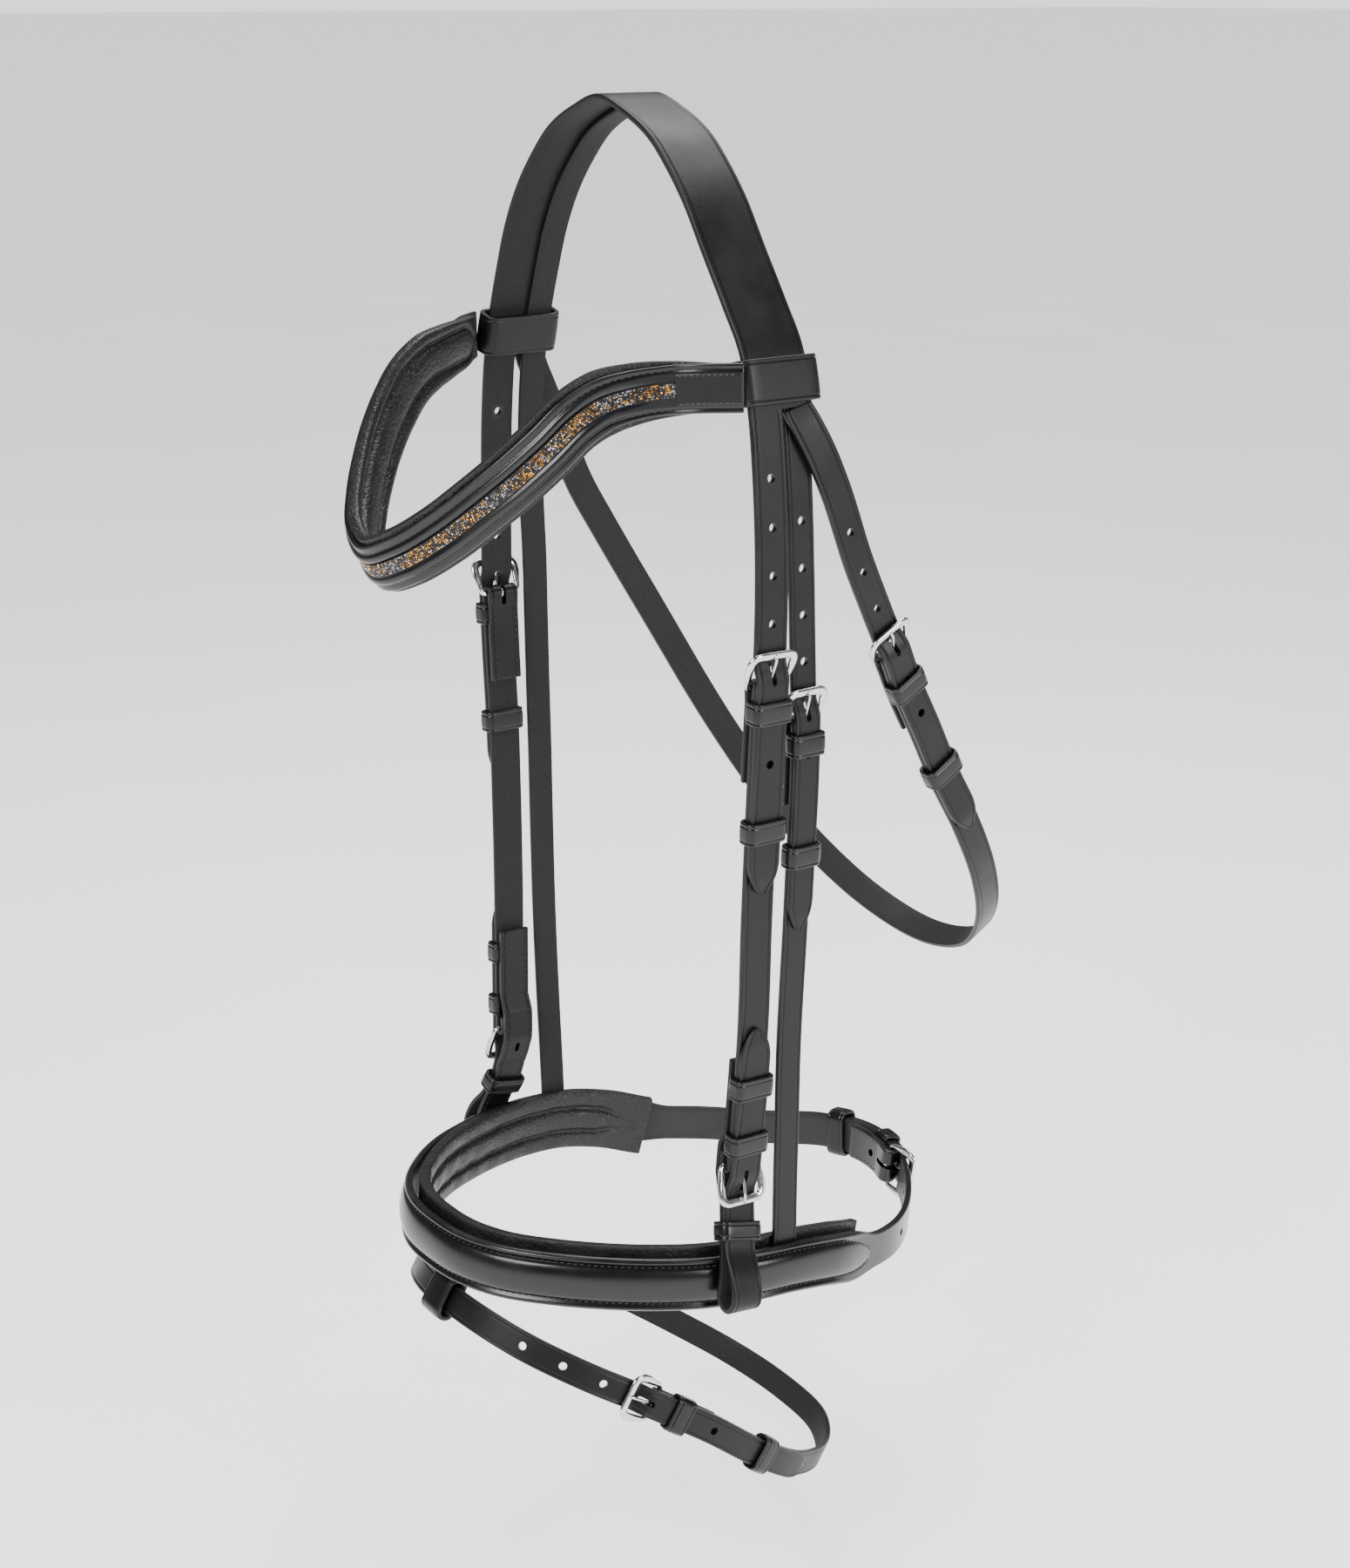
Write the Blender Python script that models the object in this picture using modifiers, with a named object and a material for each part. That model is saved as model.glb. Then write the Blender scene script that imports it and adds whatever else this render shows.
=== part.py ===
"""Snaffle bridle with a wave browband and a flash noseband, as separate leather and metal pieces.

The bridle hangs as it does on a horse: +X is the near (left) side, -Y the front, +Z up.
The origin is under the middle of the sliphead, where the bridle rests on the poll.

Every strap follows a Route, a smooth line with a width direction at each point. A place on a
route is (s, u, v): s metres along it, u across its width and v out from it. Straps, keepers and
buckles that lie on each other share one route, so they fit by their u and v alone.
"""
import math

import bmesh
import bpy
import numpy as np
from mathutils import Matrix, Vector

MM = 0.001

# Clearances
GAP = 0.3 * MM                  # between pieces that touch
KEEPER_EASE = 0.5 * MM          # between a fixed keeper and the straps in it
RUNNER_EASE = 0.8 * MM          # between a sliding keeper and the straps in it
BRANCH_ROOM = 3.4 * MM          # between the headpiece and the throat branch that swings from it
LOOP_EASE = 2.0 * MM            # between a browband loop and the straps in it
BEND_EASE = 1.2 * MM            # between a keeper on a bend and the straps in it
BUCKLE_EASE = 1.0 * MM          # between a strap's edge and the side of its buckle
HOOK_EASE = 0.25 * MM           # between a tongue's hook and its bar
SLIP_ROOM = 1.2 * MM            # beside a sliphead end between the noseband and its padding
TONGUE_EASE = 0.4 * MM          # between a tongue and the slot it works in

# Leather
HEAD_THICK = 2.6 * MM
CHEEK_THICK = 2.4 * MM
SLIP_THICK = 2.2 * MM
THROAT_THICK = 2.4 * MM
NOSE_THICK = 3.0 * MM
FLASH_THICK = 2.2 * MM
BROW_THICK = 2.4 * MM
KEEPER_THICK = 1.4 * MM
LOOP_THICK = 2.0 * MM
PAD_THICK = 6.0 * MM

# Widths
HEAD_WIDTH = 31.5 * MM
CHEEK_WIDTH = 16.0 * MM
SLIT = 0.8 * MM                 # between the two branches of the headpiece
THROAT_WIDTH = HEAD_WIDTH - CHEEK_WIDTH - SLIT
SLIP_WIDTH = 13.0 * MM
CHIN_WIDTH = 18.0 * MM
NOSE_WIDTH = 25.0 * MM
NOSE_PAD_WIDTH = 31.0 * MM
FLASH_WIDTH = 13.0 * MM
BROW_WIDTH = 20.0 * MM
BROW_PAD_WIDTH = 27.0 * MM
CRYSTAL_WIDTH = 9.0 * MM
CRYSTAL_THICK = 1.2 * MM
KEEPER_HEIGHT = 10.0 * MM
LOW_KEEPER_HEIGHT = 8.5 * MM
BROW_LOOP_HEIGHT = 18.5 * MM
TIP_LENGTH = 15.0 * MM
TIP_WIDTH = 4.0 * MM

# Buckles
BAR_RADIUS = 1.1 * MM
TONGUE_RADIUS = 0.8 * MM
BUCKLE_LENGTH = 13.5 * MM       # from bar to bar
BIT_BUCKLE_LENGTH = 16.0 * MM
BUCKLE_CORNER = 3.0 * MM
LIFT = 3.0 * MM                 # how far a billet climbs from under the outer bar to over the fold
TONGUE_TIP = 2.2 * MM           # past the middle of the outer bar
HOLE_RADIUS = 1.9 * MM
HOLE_PITCH = 20.0 * MM
TONGUE_HOLE = 6.3 * MM          # from the outer bar to the hole the tongue comes through
CLIMB_START = 2.0 * MM          # a billet climbs from here past the outer bar
CLIMB_END = 2.5 * MM            # to here before the inner bar
SLOT_START = 1.4 * MM           # the tongue's slot in a billet starts this far before the inner bar
SLOT_END = 3.4 * MM             # and ends this far from the outer bar
HOOK_SLOT = 5.5 * MM            # half length of the hook's slot in a fold
SETTLE = 7.0 * MM               # past the inner bar, where a fold's inner layer has settled
TUCK = 1.5 * MM                 # past the inner bar, where the inner layer leaves the bar
FOLD_LEG = 3.0 * MM             # past the inner bar, where the outer layer runs straight
CUT_DEPTH = 14.0 * MM           # of a cutter through one strap
HOOK_CUT_DEPTH = 9.0 * MM

STEP = 6.5 * MM                 # spacing of a strap's stations where nothing else sets it
LEAN = 6.5                      # how far the crown of the headpiece leans to the off side, mm

# Routes, mm. The arch runs from the crown to the browband loop, as (x, z).
ARCH = [(0, 2.7), (18.3, -2.4), (38, -12.1), (50.5, -23.3), (60.3, -34.1), (74.5, -55.6),
        (84.9, -74.4), (94.2, -93), (99.8, -114), (103.6, -142)]
CHEEK_REAR = [(105.8, -9, -182), (106, -9.5, -214), (103.9, -10, -252), (101.2, -10, -296),
              (99.8, -10.4, -334), (98.9, -11, -383), (96.8, -13, -431), (95.4, -14.2, -455),
              (95.8, -15.4, -468), (98.2, -17, -478), (101.8, -19.5, -487), (104.8, -22, -497),
              (105.6, -24, -508), (105.4, -26, -526)]
CHEEK = [(x, rear - CHEEK_WIDTH / 2 / MM, z) for x, rear, z in CHEEK_REAR]
SLIP = [(105.5, 0.9, -184), (105.6, 2, -214), (106.1, 2.6, -241), (105.6, 2.7, -279),
        (104.4, 2.4, -307), (103.2, 1.9, -342), (100.9, 1.2, -397), (99.6, 1.7, -440),
        (98.5, 2.2, -470), (98, 2.6, -490), (98, 2.8, -520)]
THROAT = [(97.8, -1, -105), (100.4, -0.8, -115), (102.3, 2.6, -122), (104.1, 9, -134),
          (104.9, 16.5, -150), (104.4, 30, -182), (102.2, 41.5, -203), (99.8, 53.4, -224),
          (96.8, 64, -243), (95, 77, -265), (92.6, 91, -289), (90.5, 109.5, -318),
          (84, 127, -346), (68, 145, -375), (40, 160, -399), (0, 166, -409)]
BROW = [(100, -31, -104.5), (92.5, -41, -104.7), (84, -50, -105.5), (75.8, -64, -107.6),
        (71.2, -76, -111), (68, -86, -117), (63.5, -97, -128), (56, -108, -140),
        (46, -118.5, -152), (33.5, -129, -164.5), (17.5, -138.5, -175.5), (0, -142, -181)]
NOSE = [(0, 134, -522), (30, 128, -524), (54, 112, -527.5), (76, 86, -526.5),
        (88, 56, -522), (95.5, 30, -513.5), (98.3, 8, -508.5), (97.6, -16, -506),
        (93, -38, -504.5), (84, -60, -502.5), (73, -79.5, -500.5), (58, -98, -499),
        (40, -113.5, -498), (20, -122, -497.3), (0, -124, -497)]
FLASH_NEAR = [(0, 79, -645), (34, 74, -645), (60, 56, -642), (78, 26, -629), (86, -6, -606),
              (85.5, -34, -583), (79, -60, -565), (66, -86, -549), (46, -106, -536.5),
              (22, -116.5, -529), (0, -119, -527)]
FLASH_OFF = [(-22, -116.5, -528), (-46, -106, -533), (-66, -86, -542), (-80, -60, -555),
             (-87, -30, -572), (-86, 0, -591), (-77, 28, -609), (-60, 54, -627), (-34, 73, -640)]

# Heights of the buckles and keepers on their routes, mm
CHEEK_BUCKLE_Z = -215.5
CHEEK_KEEPER_Z = -239.0
CHEEK_RUNNER_Z = -292.0
CHEEK_TIP_Z = -321.0
CHEEK_FOLD_END_Z = -271.0
SLIP_BUCKLE_Z = -235.0
SLIP_KEEPER_Z = -257.0
SLIP_RUNNER_Z = -307.0
SLIP_TIP_Z = -342.0
SLIP_FOLD_END_Z = -285.0
SLIP_END_Z = -508.0
THROAT_BUCKLE_Z = -216.0
THROAT_KEEPER_Z = -242.0
THROAT_RUNNER_Z = -286.0
THROAT_TIP_Z = -318.0
THROAT_FOLD_END_Z = -262.0
BIT_BUCKLE_Z = -465.5
BIT_KEEPERS_Z = (-411.0, -438.0, -480.5)
BIT_TIP_Z = -383.0
BIT_LINING_Z = -399.0
BIT_LOOP_Z = -511.0
BIT_LOOP_RADIUS = 4.2 * MM
BIT_LOOP_START = 7.0 * MM       # below the middle of the lowest keeper
BIT_RETURN = 6.0 * MM           # length of the fold behind the bit buckle's bar
BIT_RAMP = 8.0 * MM             # over which the bit strap's lining passes behind the fold
BIT_JOIN = 14.0 * MM            # over which its two layers come together
SLIT_Z = -115.0
SLIT_EDGE = 0.2 * MM            # half the length over which the headpiece narrows
LOOP_Z = -104.0

# Places on the noseband from the middle of the chin, mm, positive round the near side
CHIN_BUCKLE_S = 36.0
CHIN_TIP_S = -38.0
CHIN_PAD_S = 130.0
CHIN_TAPER = 16.0 * MM          # from the chin's width towards the full width, before the padding
CHIN_WIDEN = 10.0 * MM          # and after it
CHIN_RETURN = 31.0 * MM         # length of the fold's inner layer
CHIN_LAP = 22.0 * MM            # length of its outer layer before it joins the strap
CHIN_RISE = 40.0 * MM           # before the chin, where the strap has reached its buckle's level
CHIN_KEEPER = 12.0 * MM         # past the inner bar
CHIN_RUNNER = 44.0 * MM
CHIN_RUNNER_EASE = 1.6 * MM    # it slides straight where the strap bends
# Places on the flash strap from the middle of the jaw, mm, positive round the near side
FLASH_BUCKLE_S = 224.0
FLASH_TAIL = 124.0
FLASH_RETURN = 34.0
FLASH_KEEPER = 12.5
FLASH_RUNNER = 70.0
FLASH_LAP = 12.0 * MM           # past the tip, where the fold's outer layer joins the strap
FLASH_RISE = 120.0 * MM         # before that, where the strap starts to rise to its buckle
FLASH_LEVEL = 20.0 * MM         # before that, where it has risen
FLASH_LOOP_WIDTH = 15.0 * MM
FLASH_LOOP_EASE = 1.9 * MM

# Ends of the browband's pieces, from the ends of its route
BROW_END = 2.0 * MM
BROW_PAD_END = 8.0 * MM
CRYSTAL_END = 22.0 * MM
BROW_PAD_TAPER = 45.0 * MM
BROW_PAD_NARROW = 19.0 * MM     # the padding's width at its ends

LAYER_GAP = KEEPER_EASE + KEEPER_THICK + GAP      # between a fold's two layers, for its keeper

LEATHER = (0.018, 0.017, 0.018, 1.0)
LINING = (0.035, 0.033, 0.034, 1.0)
STEEL = (0.75, 0.75, 0.77, 1.0)
CRYSTAL = (0.65, 0.52, 0.35, 1.0)


class Route:
    """A smooth line through points, with a width direction, to place things along."""

    DENSE = 40

    def __init__(self, points, across, closed=False):
        points = np.array(points, float) * MM
        across = np.broadcast_to(np.array(across, float), points.shape)
        if closed:
            points = np.vstack([points[-2:], points, points[:3]])
            across = np.vstack([across[-2:], across, across[:3]])
        table = self.smooth(np.hstack([points, across]))
        if closed:
            table = table[2 * self.DENSE:-2 * self.DENSE]
        self.closed = closed
        self.places, self.across = table[:, :3], table[:, 3:]
        steps = np.linalg.norm(np.diff(self.places, axis=0), axis=1)
        self.along = np.concatenate([[0.0], np.cumsum(steps)])
        self.length = self.along[-1]
        self.tangents = np.gradient(self.places, self.along, axis=0)

    def smooth(self, rows):
        """Cubic through the rows, its slope at each one taken from its two neighbours."""
        chord = np.linalg.norm(np.diff(rows[:, :3], axis=0), axis=1)
        knots = np.concatenate([[0.0], np.cumsum(chord)])
        slope = np.gradient(rows, knots, axis=0)
        t = np.linspace(0.0, 1.0, self.DENSE, endpoint=False)[:, None]
        pieces = []
        for i, span in enumerate(chord):
            pieces.append((2 * t**3 - 3 * t**2 + 1) * rows[i] + (3 * t**2 - 2 * t**3) * rows[i + 1]
                          + (t**3 - 2 * t**2 + t) * span * slope[i]
                          + (t**3 - t**2) * span * slope[i + 1])
        return np.vstack(pieces + [rows[-1:]])

    def frame(self, s):
        """Place, direction, outward and width vectors at each s."""
        s = np.atleast_1d(np.asarray(s, float))
        if self.closed:
            s = s % self.length
        inside = np.clip(s, 0.0, self.length)
        pick = [np.column_stack([np.interp(inside, self.along, part[:, i]) for i in range(3)])
                for part in (self.places, self.tangents, self.across)]
        place, direction, width = pick
        direction /= np.linalg.norm(direction, axis=1)[:, None]
        width = width - direction * np.sum(width * direction, axis=1)[:, None]
        width /= np.linalg.norm(width, axis=1)[:, None]
        place = place + direction * (s - inside)[:, None]
        return place, direction, np.cross(width, direction), width

    def place(self, s, u, v, side=1):
        """World places of (s, u, v); side -1 mirrors them to the off side."""
        place, _, out, width = self.frame(s)
        u, v = np.broadcast_to(u, len(place)), np.broadcast_to(v, len(place))
        return (place + width * u[:, None] + out * v[:, None]) * np.array([side, 1.0, 1.0])

    def at_height(self, z, off=False):
        """The s where the route passes height z in mm, on its last stretch or, if off, its first."""
        below = self.places[:, 2] < z * MM
        crossing = np.nonzero(below[:-1] != below[1:])[0]
        i = crossing[0] if off else crossing[-1]
        z0, z1 = self.places[i, 2], self.places[i + 1, 2]
        share = (z * MM - z0) / (z1 - z0)
        return self.along[i] + share * (self.along[i + 1] - self.along[i])


def arch_points(y, lean=LEAN):
    """The crown's points down to the near side, leaning by lean above the browband loop."""
    loop_z, full_z = -93.0, -50.0
    points = []
    for x, z in ARCH:
        share = min(max((z - loop_z) / (full_z - loop_z), 0.0), 1.0)
        points.append((x - lean * share, y, z))
    return points


def over_poll(y, lower):
    """Points of a strap from its off end over the poll to its near end."""
    near = arch_points(y) + lower
    off = [(-x, py, z) for x, py, z in arch_points(y, -LEAN)[1:] + lower]
    return off[::-1] + near


def mirrored(points):
    """The points reflected to the off side, in reverse order."""
    return [(-x, y, z) for x, y, z in points[::-1]]


FORWARD = (0.0, -1.0, 0.0)
NOSE_TILT = math.radians(6.0)
NOSE_UP = (0.0, math.sin(NOSE_TILT), math.cos(NOSE_TILT))
FLASH_UP = (0.0, 0.54, 0.84)
SLIP_Y = 0.0
HEAD_Y = SLIP_Y + (SLIP_WIDTH / 2 + CHEEK_WIDTH / 2 - HEAD_WIDTH) / MM   # rear edges in line
BROW_UP = ([(0.0, 0.0, 1.0)] * 3 + [(-0.05, -0.15, 1.0), (-0.08, -0.3, 0.95), (-0.1, -0.45, 0.88),
           (-0.1, -0.5, 0.86)] + [(-0.1, -0.5, 0.85)] * 4 + [(0.0, -0.5, 0.87)])
THROAT_ACROSS = ([(0.0, -1.0, 0.0)] * 2 + [(0.0, -0.98, -0.2), (0.0, -0.93, -0.36)]
                 + [(0.0, -0.9, -0.43)] * 4 + [(0.0, -0.87, -0.5)] * 8)

head = Route(over_poll(HEAD_Y, CHEEK), FORWARD)
cheek = Route(arch_points(HEAD_Y, 0.0)[-4:] + CHEEK, FORWARD)
slip = Route(over_poll(SLIP_Y, SLIP), FORWARD)
throat = Route(THROAT + mirrored(THROAT[:-1]),
               THROAT_ACROSS + THROAT_ACROSS[-2::-1])
brow = Route(BROW + mirrored(BROW[:-1]), BROW_UP + [(-x, y, z) for x, y, z in BROW_UP[-2::-1]])
nose = Route(NOSE + mirrored(NOSE[1:-1]), NOSE_UP, closed=True)
flash = Route(FLASH_NEAR + FLASH_OFF, FLASH_UP, closed=True)


# ---------------------------------------------------------------- shared helpers

def new_collection(name):
    """A collection of the scene."""
    made = bpy.data.collections.new(name)
    bpy.context.scene.collection.children.link(made)
    return made


def material(name, colour, roughness, metallic=0.0):
    """A plain Principled material."""
    made = bpy.data.materials.new(name)
    made.use_nodes = True
    shader = made.node_tree.nodes["Principled BSDF"]
    shader.inputs["Base Color"].default_value = colour
    shader.inputs["Roughness"].default_value = roughness
    shader.inputs["Metallic"].default_value = metallic
    return made


def new_object(name, mesh, finish=None):
    """An object in the bridle's collection."""
    made = bpy.data.objects.new(name, mesh)
    parts.objects.link(made)
    if finish:
        mesh.materials.append(finish)
    return made


def solidify(made, thickness):
    """Grow an open surface outwards along its normals."""
    wall = made.modifiers.new("thickness", "SOLIDIFY")
    wall.thickness = thickness
    wall.offset = 1.0
    wall.use_even_offset = True


def strap(name, route, run, low, high, thickness, finish, side=1, left=1):
    """A leather strip along a run of (s, v) places, growing to the left of the run or the right."""
    s, v = np.array(run).T
    low, high = np.broadcast_to(low, len(s)), np.broadcast_to(high, len(s))
    edges = [route.place(s, low, v, side), route.place(s, high, v, side)]
    n = len(s)
    faces = []
    for i in range(n - 1):
        face = (i, n + i, n + i + 1, i + 1)
        faces.append(face if left * side > 0 else face[::-1])
    mesh = bpy.data.meshes.new(name)
    mesh.from_pydata(np.vstack(edges).tolist(), [], faces)
    made = new_object(name, mesh, finish)
    solidify(made, thickness)
    return made


def cutter(name, build):
    """A hidden wire object for a Boolean, filled in by build(bm)."""
    bm = bmesh.new()
    build(bm)
    mesh = bpy.data.meshes.new(name)
    bm.to_mesh(mesh)
    bm.free()
    made = bpy.data.objects.new(name, mesh)
    cutters.objects.link(made)
    made.hide_render = True
    made.display_type = "WIRE"
    return made


def cut(made, tool):
    """Take the tool out of the piece."""
    boolean = made.modifiers.new(tool.name, "BOOLEAN")
    boolean.operation = "DIFFERENCE"
    boolean.solver = "EXACT"
    boolean.object = tool


def local_matrix(route, s, v, side):
    """A matrix whose X is the route's direction, Y its width and Z outwards, at (s, 0, v)."""
    _, direction, out, width = route.frame(s)
    axes = np.array([direction[0], width[0], out[0]]) * np.array([side, 1.0, 1.0])
    matrix = Matrix(axes.T.tolist()).to_4x4()
    matrix.translation = Vector(route.place(s, 0.0, v, side)[0])
    return matrix


def punch(made, route, places, v):
    """Round holes through a strap at each s."""
    def build(bm):
        for s in places:
            bmesh.ops.create_cone(bm, cap_ends=True, segments=10, radius1=HOLE_RADIUS,
                                  radius2=HOLE_RADIUS, depth=CUT_DEPTH,
                                  matrix=local_matrix(route, s, v, 1))
        bmesh.ops.recalc_face_normals(bm, faces=bm.faces)
    cut(made, cutter(made.name + "_holes", build))


def slot(made, route, s0, s1, v, depth, half_width, side=1):
    """An oblong opening through a strap, from s0 to s1."""
    def build(bm):
        matrix = local_matrix(route, (s0 + s1) / 2, v, side)
        size = Matrix.Diagonal((abs(s1 - s0), 2 * half_width, depth, 1.0))
        bmesh.ops.create_cube(bm, size=1.0, matrix=matrix @ size)
        bmesh.ops.recalc_face_normals(bm, faces=bm.faces)
    cut(made, cutter(made.name + "_slot_%d" % len(made.modifiers), build))


def stations(*stops):
    """Places along a strap through every stop, and between them at the whole steps of the route.

    Straps that lie on each other share those steps, so their facets stay parallel.
    """
    result = [stops[0]]
    for a, b in zip(stops[:-1], stops[1:]):
        way = 1 if b > a else -1
        first = math.floor(min(a, b) / STEP) + 1
        last = math.ceil(max(a, b) / STEP) - 1
        between = [i * STEP for i in range(first, last + 1)]
        result.extend(s for s in between[::way] if min(abs(s - a), abs(s - b)) > STEP / 4)
        result.append(b)
    return np.array(result)


def tip_half_width(distance, width):
    """Half width of a pointed end, at a distance from its tip."""
    share = np.clip(1.0 - distance / TIP_LENGTH, 0.0, 1.0)
    return TIP_WIDTH / 2 + (width - TIP_WIDTH) / 2 * np.sqrt(1.0 - share**2)


def tip_stops(tip, direction):
    """Places that shape a pointed end, from the tip inwards; direction points inwards."""
    return [tip + direction * TIP_LENGTH * share for share in (0.0, 0.07, 0.2, 0.42, 0.7, 1.0)]


def keeper(name, route, s, half_width, v_low, v_high, height, ease, thickness=KEEPER_THICK,
           side=1, centre=0.0):
    """A closed leather band round the straps between v_low and v_high."""
    a, b = half_width + ease, (v_high - v_low) / 2 + ease
    corner = min(2.5 * ease, 0.8 * b)   # rounder ones would cut into the straps' square corners
    ring = []
    for quarter in range(4):
        cx = (a - corner) * (1 if quarter in (0, 3) else -1)
        cy = (b - corner) * (1 if quarter in (0, 1) else -1)
        for turn in (0.0, 0.5, 1.0):
            angle = math.pi / 2 * (quarter + turn)
            ring.append((centre + cx + corner * math.cos(angle), cy + corner * math.sin(angle)))
    matrix = local_matrix(route, s, (v_low + v_high) / 2, side)
    rows = [[matrix @ Vector((x, u, v)) for u, v in ring] for x in (-height / 2, height / 2)]
    n = len(ring)
    faces = [(i, (i + 1) % n, n + (i + 1) % n, n + i) for i in range(n)]
    mesh = bpy.data.meshes.new(name)
    mesh.from_pydata([tuple(p) for row in rows for p in row], [],
                     [f if side < 0 else f[::-1] for f in faces])
    made = new_object(name, mesh, leather)
    solidify(made, thickness)
    return made


def wire(name, points, radius, cyclic, finish):
    """A round bar through the points, as a mesh with its caps welded."""
    curve = bpy.data.curves.new(name, "CURVE")
    curve.dimensions = "3D"
    spline = curve.splines.new("POLY")
    spline.points.add(len(points) - 1)
    for point, place in zip(spline.points, points):
        point.co = (*place, 1.0)
    spline.use_cyclic_u = cyclic
    curve.bevel_depth = radius
    curve.bevel_resolution = 2
    curve.use_fill_caps = True
    rough = bpy.data.objects.new(name + "_curve", curve)
    parts.objects.link(rough)
    evaluated = rough.evaluated_get(bpy.context.evaluated_depsgraph_get())
    mesh = bpy.data.meshes.new_from_object(evaluated)
    mesh.name = name
    bpy.data.objects.remove(rough)
    bm = bmesh.new()
    bm.from_mesh(mesh)
    bmesh.ops.remove_doubles(bm, verts=bm.verts, dist=0.01 * MM)
    bmesh.ops.recalc_face_normals(bm, faces=bm.faces)
    bm.to_mesh(mesh)
    bm.free()
    mesh.shade_smooth()
    return new_object(name, mesh, finish)


# ---------------------------------------------------------------- buckles

class Buckle:
    """A wire buckle on a route: a billet comes under its outer bar and over its inner bar.

    way is +1 where the billet runs along the route and -1 where it runs against it. The strap
    that holds the buckle folds round the inner bar.
    """

    def __init__(self, name, route, s_outer, way, width, billet, holder, side=1,
                 length=BUCKLE_LENGTH):
        self.name, self.route, self.way, self.side = name, route, way, side
        self.width, self.billet, self.holder, self.length = width, billet, holder, length
        self.s_outer = s_outer
        self.s_inner = s_outer + way * length
        self.fold_radius = BAR_RADIUS + GAP
        self.v_holder = LIFT - GAP - holder           # inner face of the holding strap
        self.v_inner = self.v_holder - self.fold_radius
        self.v_outer = billet + GAP + BAR_RADIUS

    def shift(self, v):
        """Move the whole buckle to a billet that lies at level v above its outer bar."""
        self.v_holder += v
        self.v_inner += v
        self.v_outer += v

    def billet_level(self, s):
        """Inner face of the billet: on the route before the buckle, lifted after it."""
        a = (np.asarray(s) - self.s_outer) * self.way
        return np.interp(a, [CLIMB_START, self.length - CLIMB_END], [0.0, LIFT])

    def billet_stops(self):
        """Places where the billet's slope changes."""
        return [self.s_outer + self.way * a for a in (CLIMB_START, self.length - CLIMB_END)]

    def fold_run(self, s_return, s_end, gap, end_level=None, settle=SETTLE):
        """Run of the holding strap: up its return leg, round the inner bar and on to s_end."""
        way, r = self.way, self.fold_radius
        settle = self.s_inner + way * settle
        run = [(s, self.v_holder - gap) for s in stations(s_return, settle)]
        run.append((self.s_inner + way * TUCK, self.v_inner - r))
        for i in range(7):
            angle = math.pi * (i / 6 - 0.5)
            run.append((self.s_inner - way * r * math.cos(angle),
                        self.v_inner + r * math.sin(angle)))
        legs = stations(self.s_inner + way * FOLD_LEG, s_end)
        levels = np.full(len(legs), self.v_holder)
        if end_level is not None:
            levels = end_level(legs)
        return run + list(zip(legs, levels))

    def frame(self):
        """The rounded frame, its inner bar in the fold and its outer bar over the billet."""
        matrix, length = self.plane()
        half = self.width / 2 + BUCKLE_EASE + BAR_RADIUS
        corner = BUCKLE_CORNER
        outline = []
        for quarter in range(4):
            cu = (half - corner) * (1 if quarter in (0, 3) else -1)
            ca = length - corner if quarter in (0, 1) else corner
            for turn in (0.0, 1.0 / 3, 2.0 / 3, 1.0):
                angle = math.pi / 2 * (quarter + turn)
                outline.append((cu + corner * math.cos(angle), ca + corner * math.sin(angle)))
        points = [matrix @ Vector((x, u, 0.0)) for u, x in outline]
        return wire(self.name + "_frame", points, BAR_RADIUS, True, steel)

    def plane(self):
        """A matrix at the inner bar: X towards the outer bar, Y across, Z out of the frame."""
        inner = self.route.place(self.s_inner, 0.0, self.v_inner, self.side)[0]
        outer = self.route.place(self.s_outer, 0.0, self.v_outer, self.side)[0]
        width = self.route.frame(self.s_inner)[3][0] * np.array([self.side, 1.0, 1.0])
        length = np.linalg.norm(outer - inner)
        ahead = (outer - inner) / length
        up = np.cross(ahead, width) * self.way * self.side
        matrix = Matrix(np.array([ahead, width, up]).T.tolist()).to_4x4()
        matrix.translation = Vector(inner)
        return matrix, length

    def tongue(self):
        """A wire hooked round the inner bar, its tip resting on the outer bar."""
        matrix, length = self.plane()
        hook = BAR_RADIUS + HOOK_EASE + TONGUE_RADIUS
        path = []
        for angle in (-50, -95, -140, -185, -230, -262):
            path.append((hook * math.cos(math.radians(angle)),
                         hook * math.sin(math.radians(angle))))
        for share in (0.2, 0.45, 0.7, 0.9):
            path.append((length * share, hook))
        path.append((length + TONGUE_TIP, hook - TONGUE_TIP * 0.1))
        points = [matrix @ Vector((x, 0.0, z)) for x, z in path]
        made = wire(self.name + "_tongue", points, TONGUE_RADIUS, False, steel)
        centre = matrix.translation
        made.data.transform(Matrix.Translation(-centre))
        made.location = centre
        return made

    def cut_billet(self, made):
        """The hole the tongue passes through, long enough for its swing."""
        start = self.s_inner - self.way * SLOT_START
        end = self.s_outer + self.way * SLOT_END
        slot(made, self.route, start, end, self.billet, CUT_DEPTH,
             TONGUE_RADIUS + TONGUE_EASE, self.side)

    def cut_holder(self, made):
        """The slot in the fold that the tongue's hook works in."""
        slot(made, self.route, self.s_inner - HOOK_SLOT, self.s_inner + HOOK_SLOT, self.v_inner,
             HOOK_CUT_DEPTH, TONGUE_RADIUS + TONGUE_EASE, self.side)

    def build(self, billet, holder):
        """Frame and tongue, with their openings in the two straps."""
        self.frame()
        self.tongue()
        self.cut_billet(billet)
        self.cut_holder(holder)


def pitch_holes(buckle, before, after):
    """Places of a billet's holes, a pitch apart, leaving out the one in use."""
    used = buckle.s_outer + buckle.way * TONGUE_HOLE
    steps = [i for i in range(-before, after + 1) if i]
    return [used + buckle.way * i * HOLE_PITCH for i in steps]


# ---------------------------------------------------------------- sub-assemblies

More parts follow.
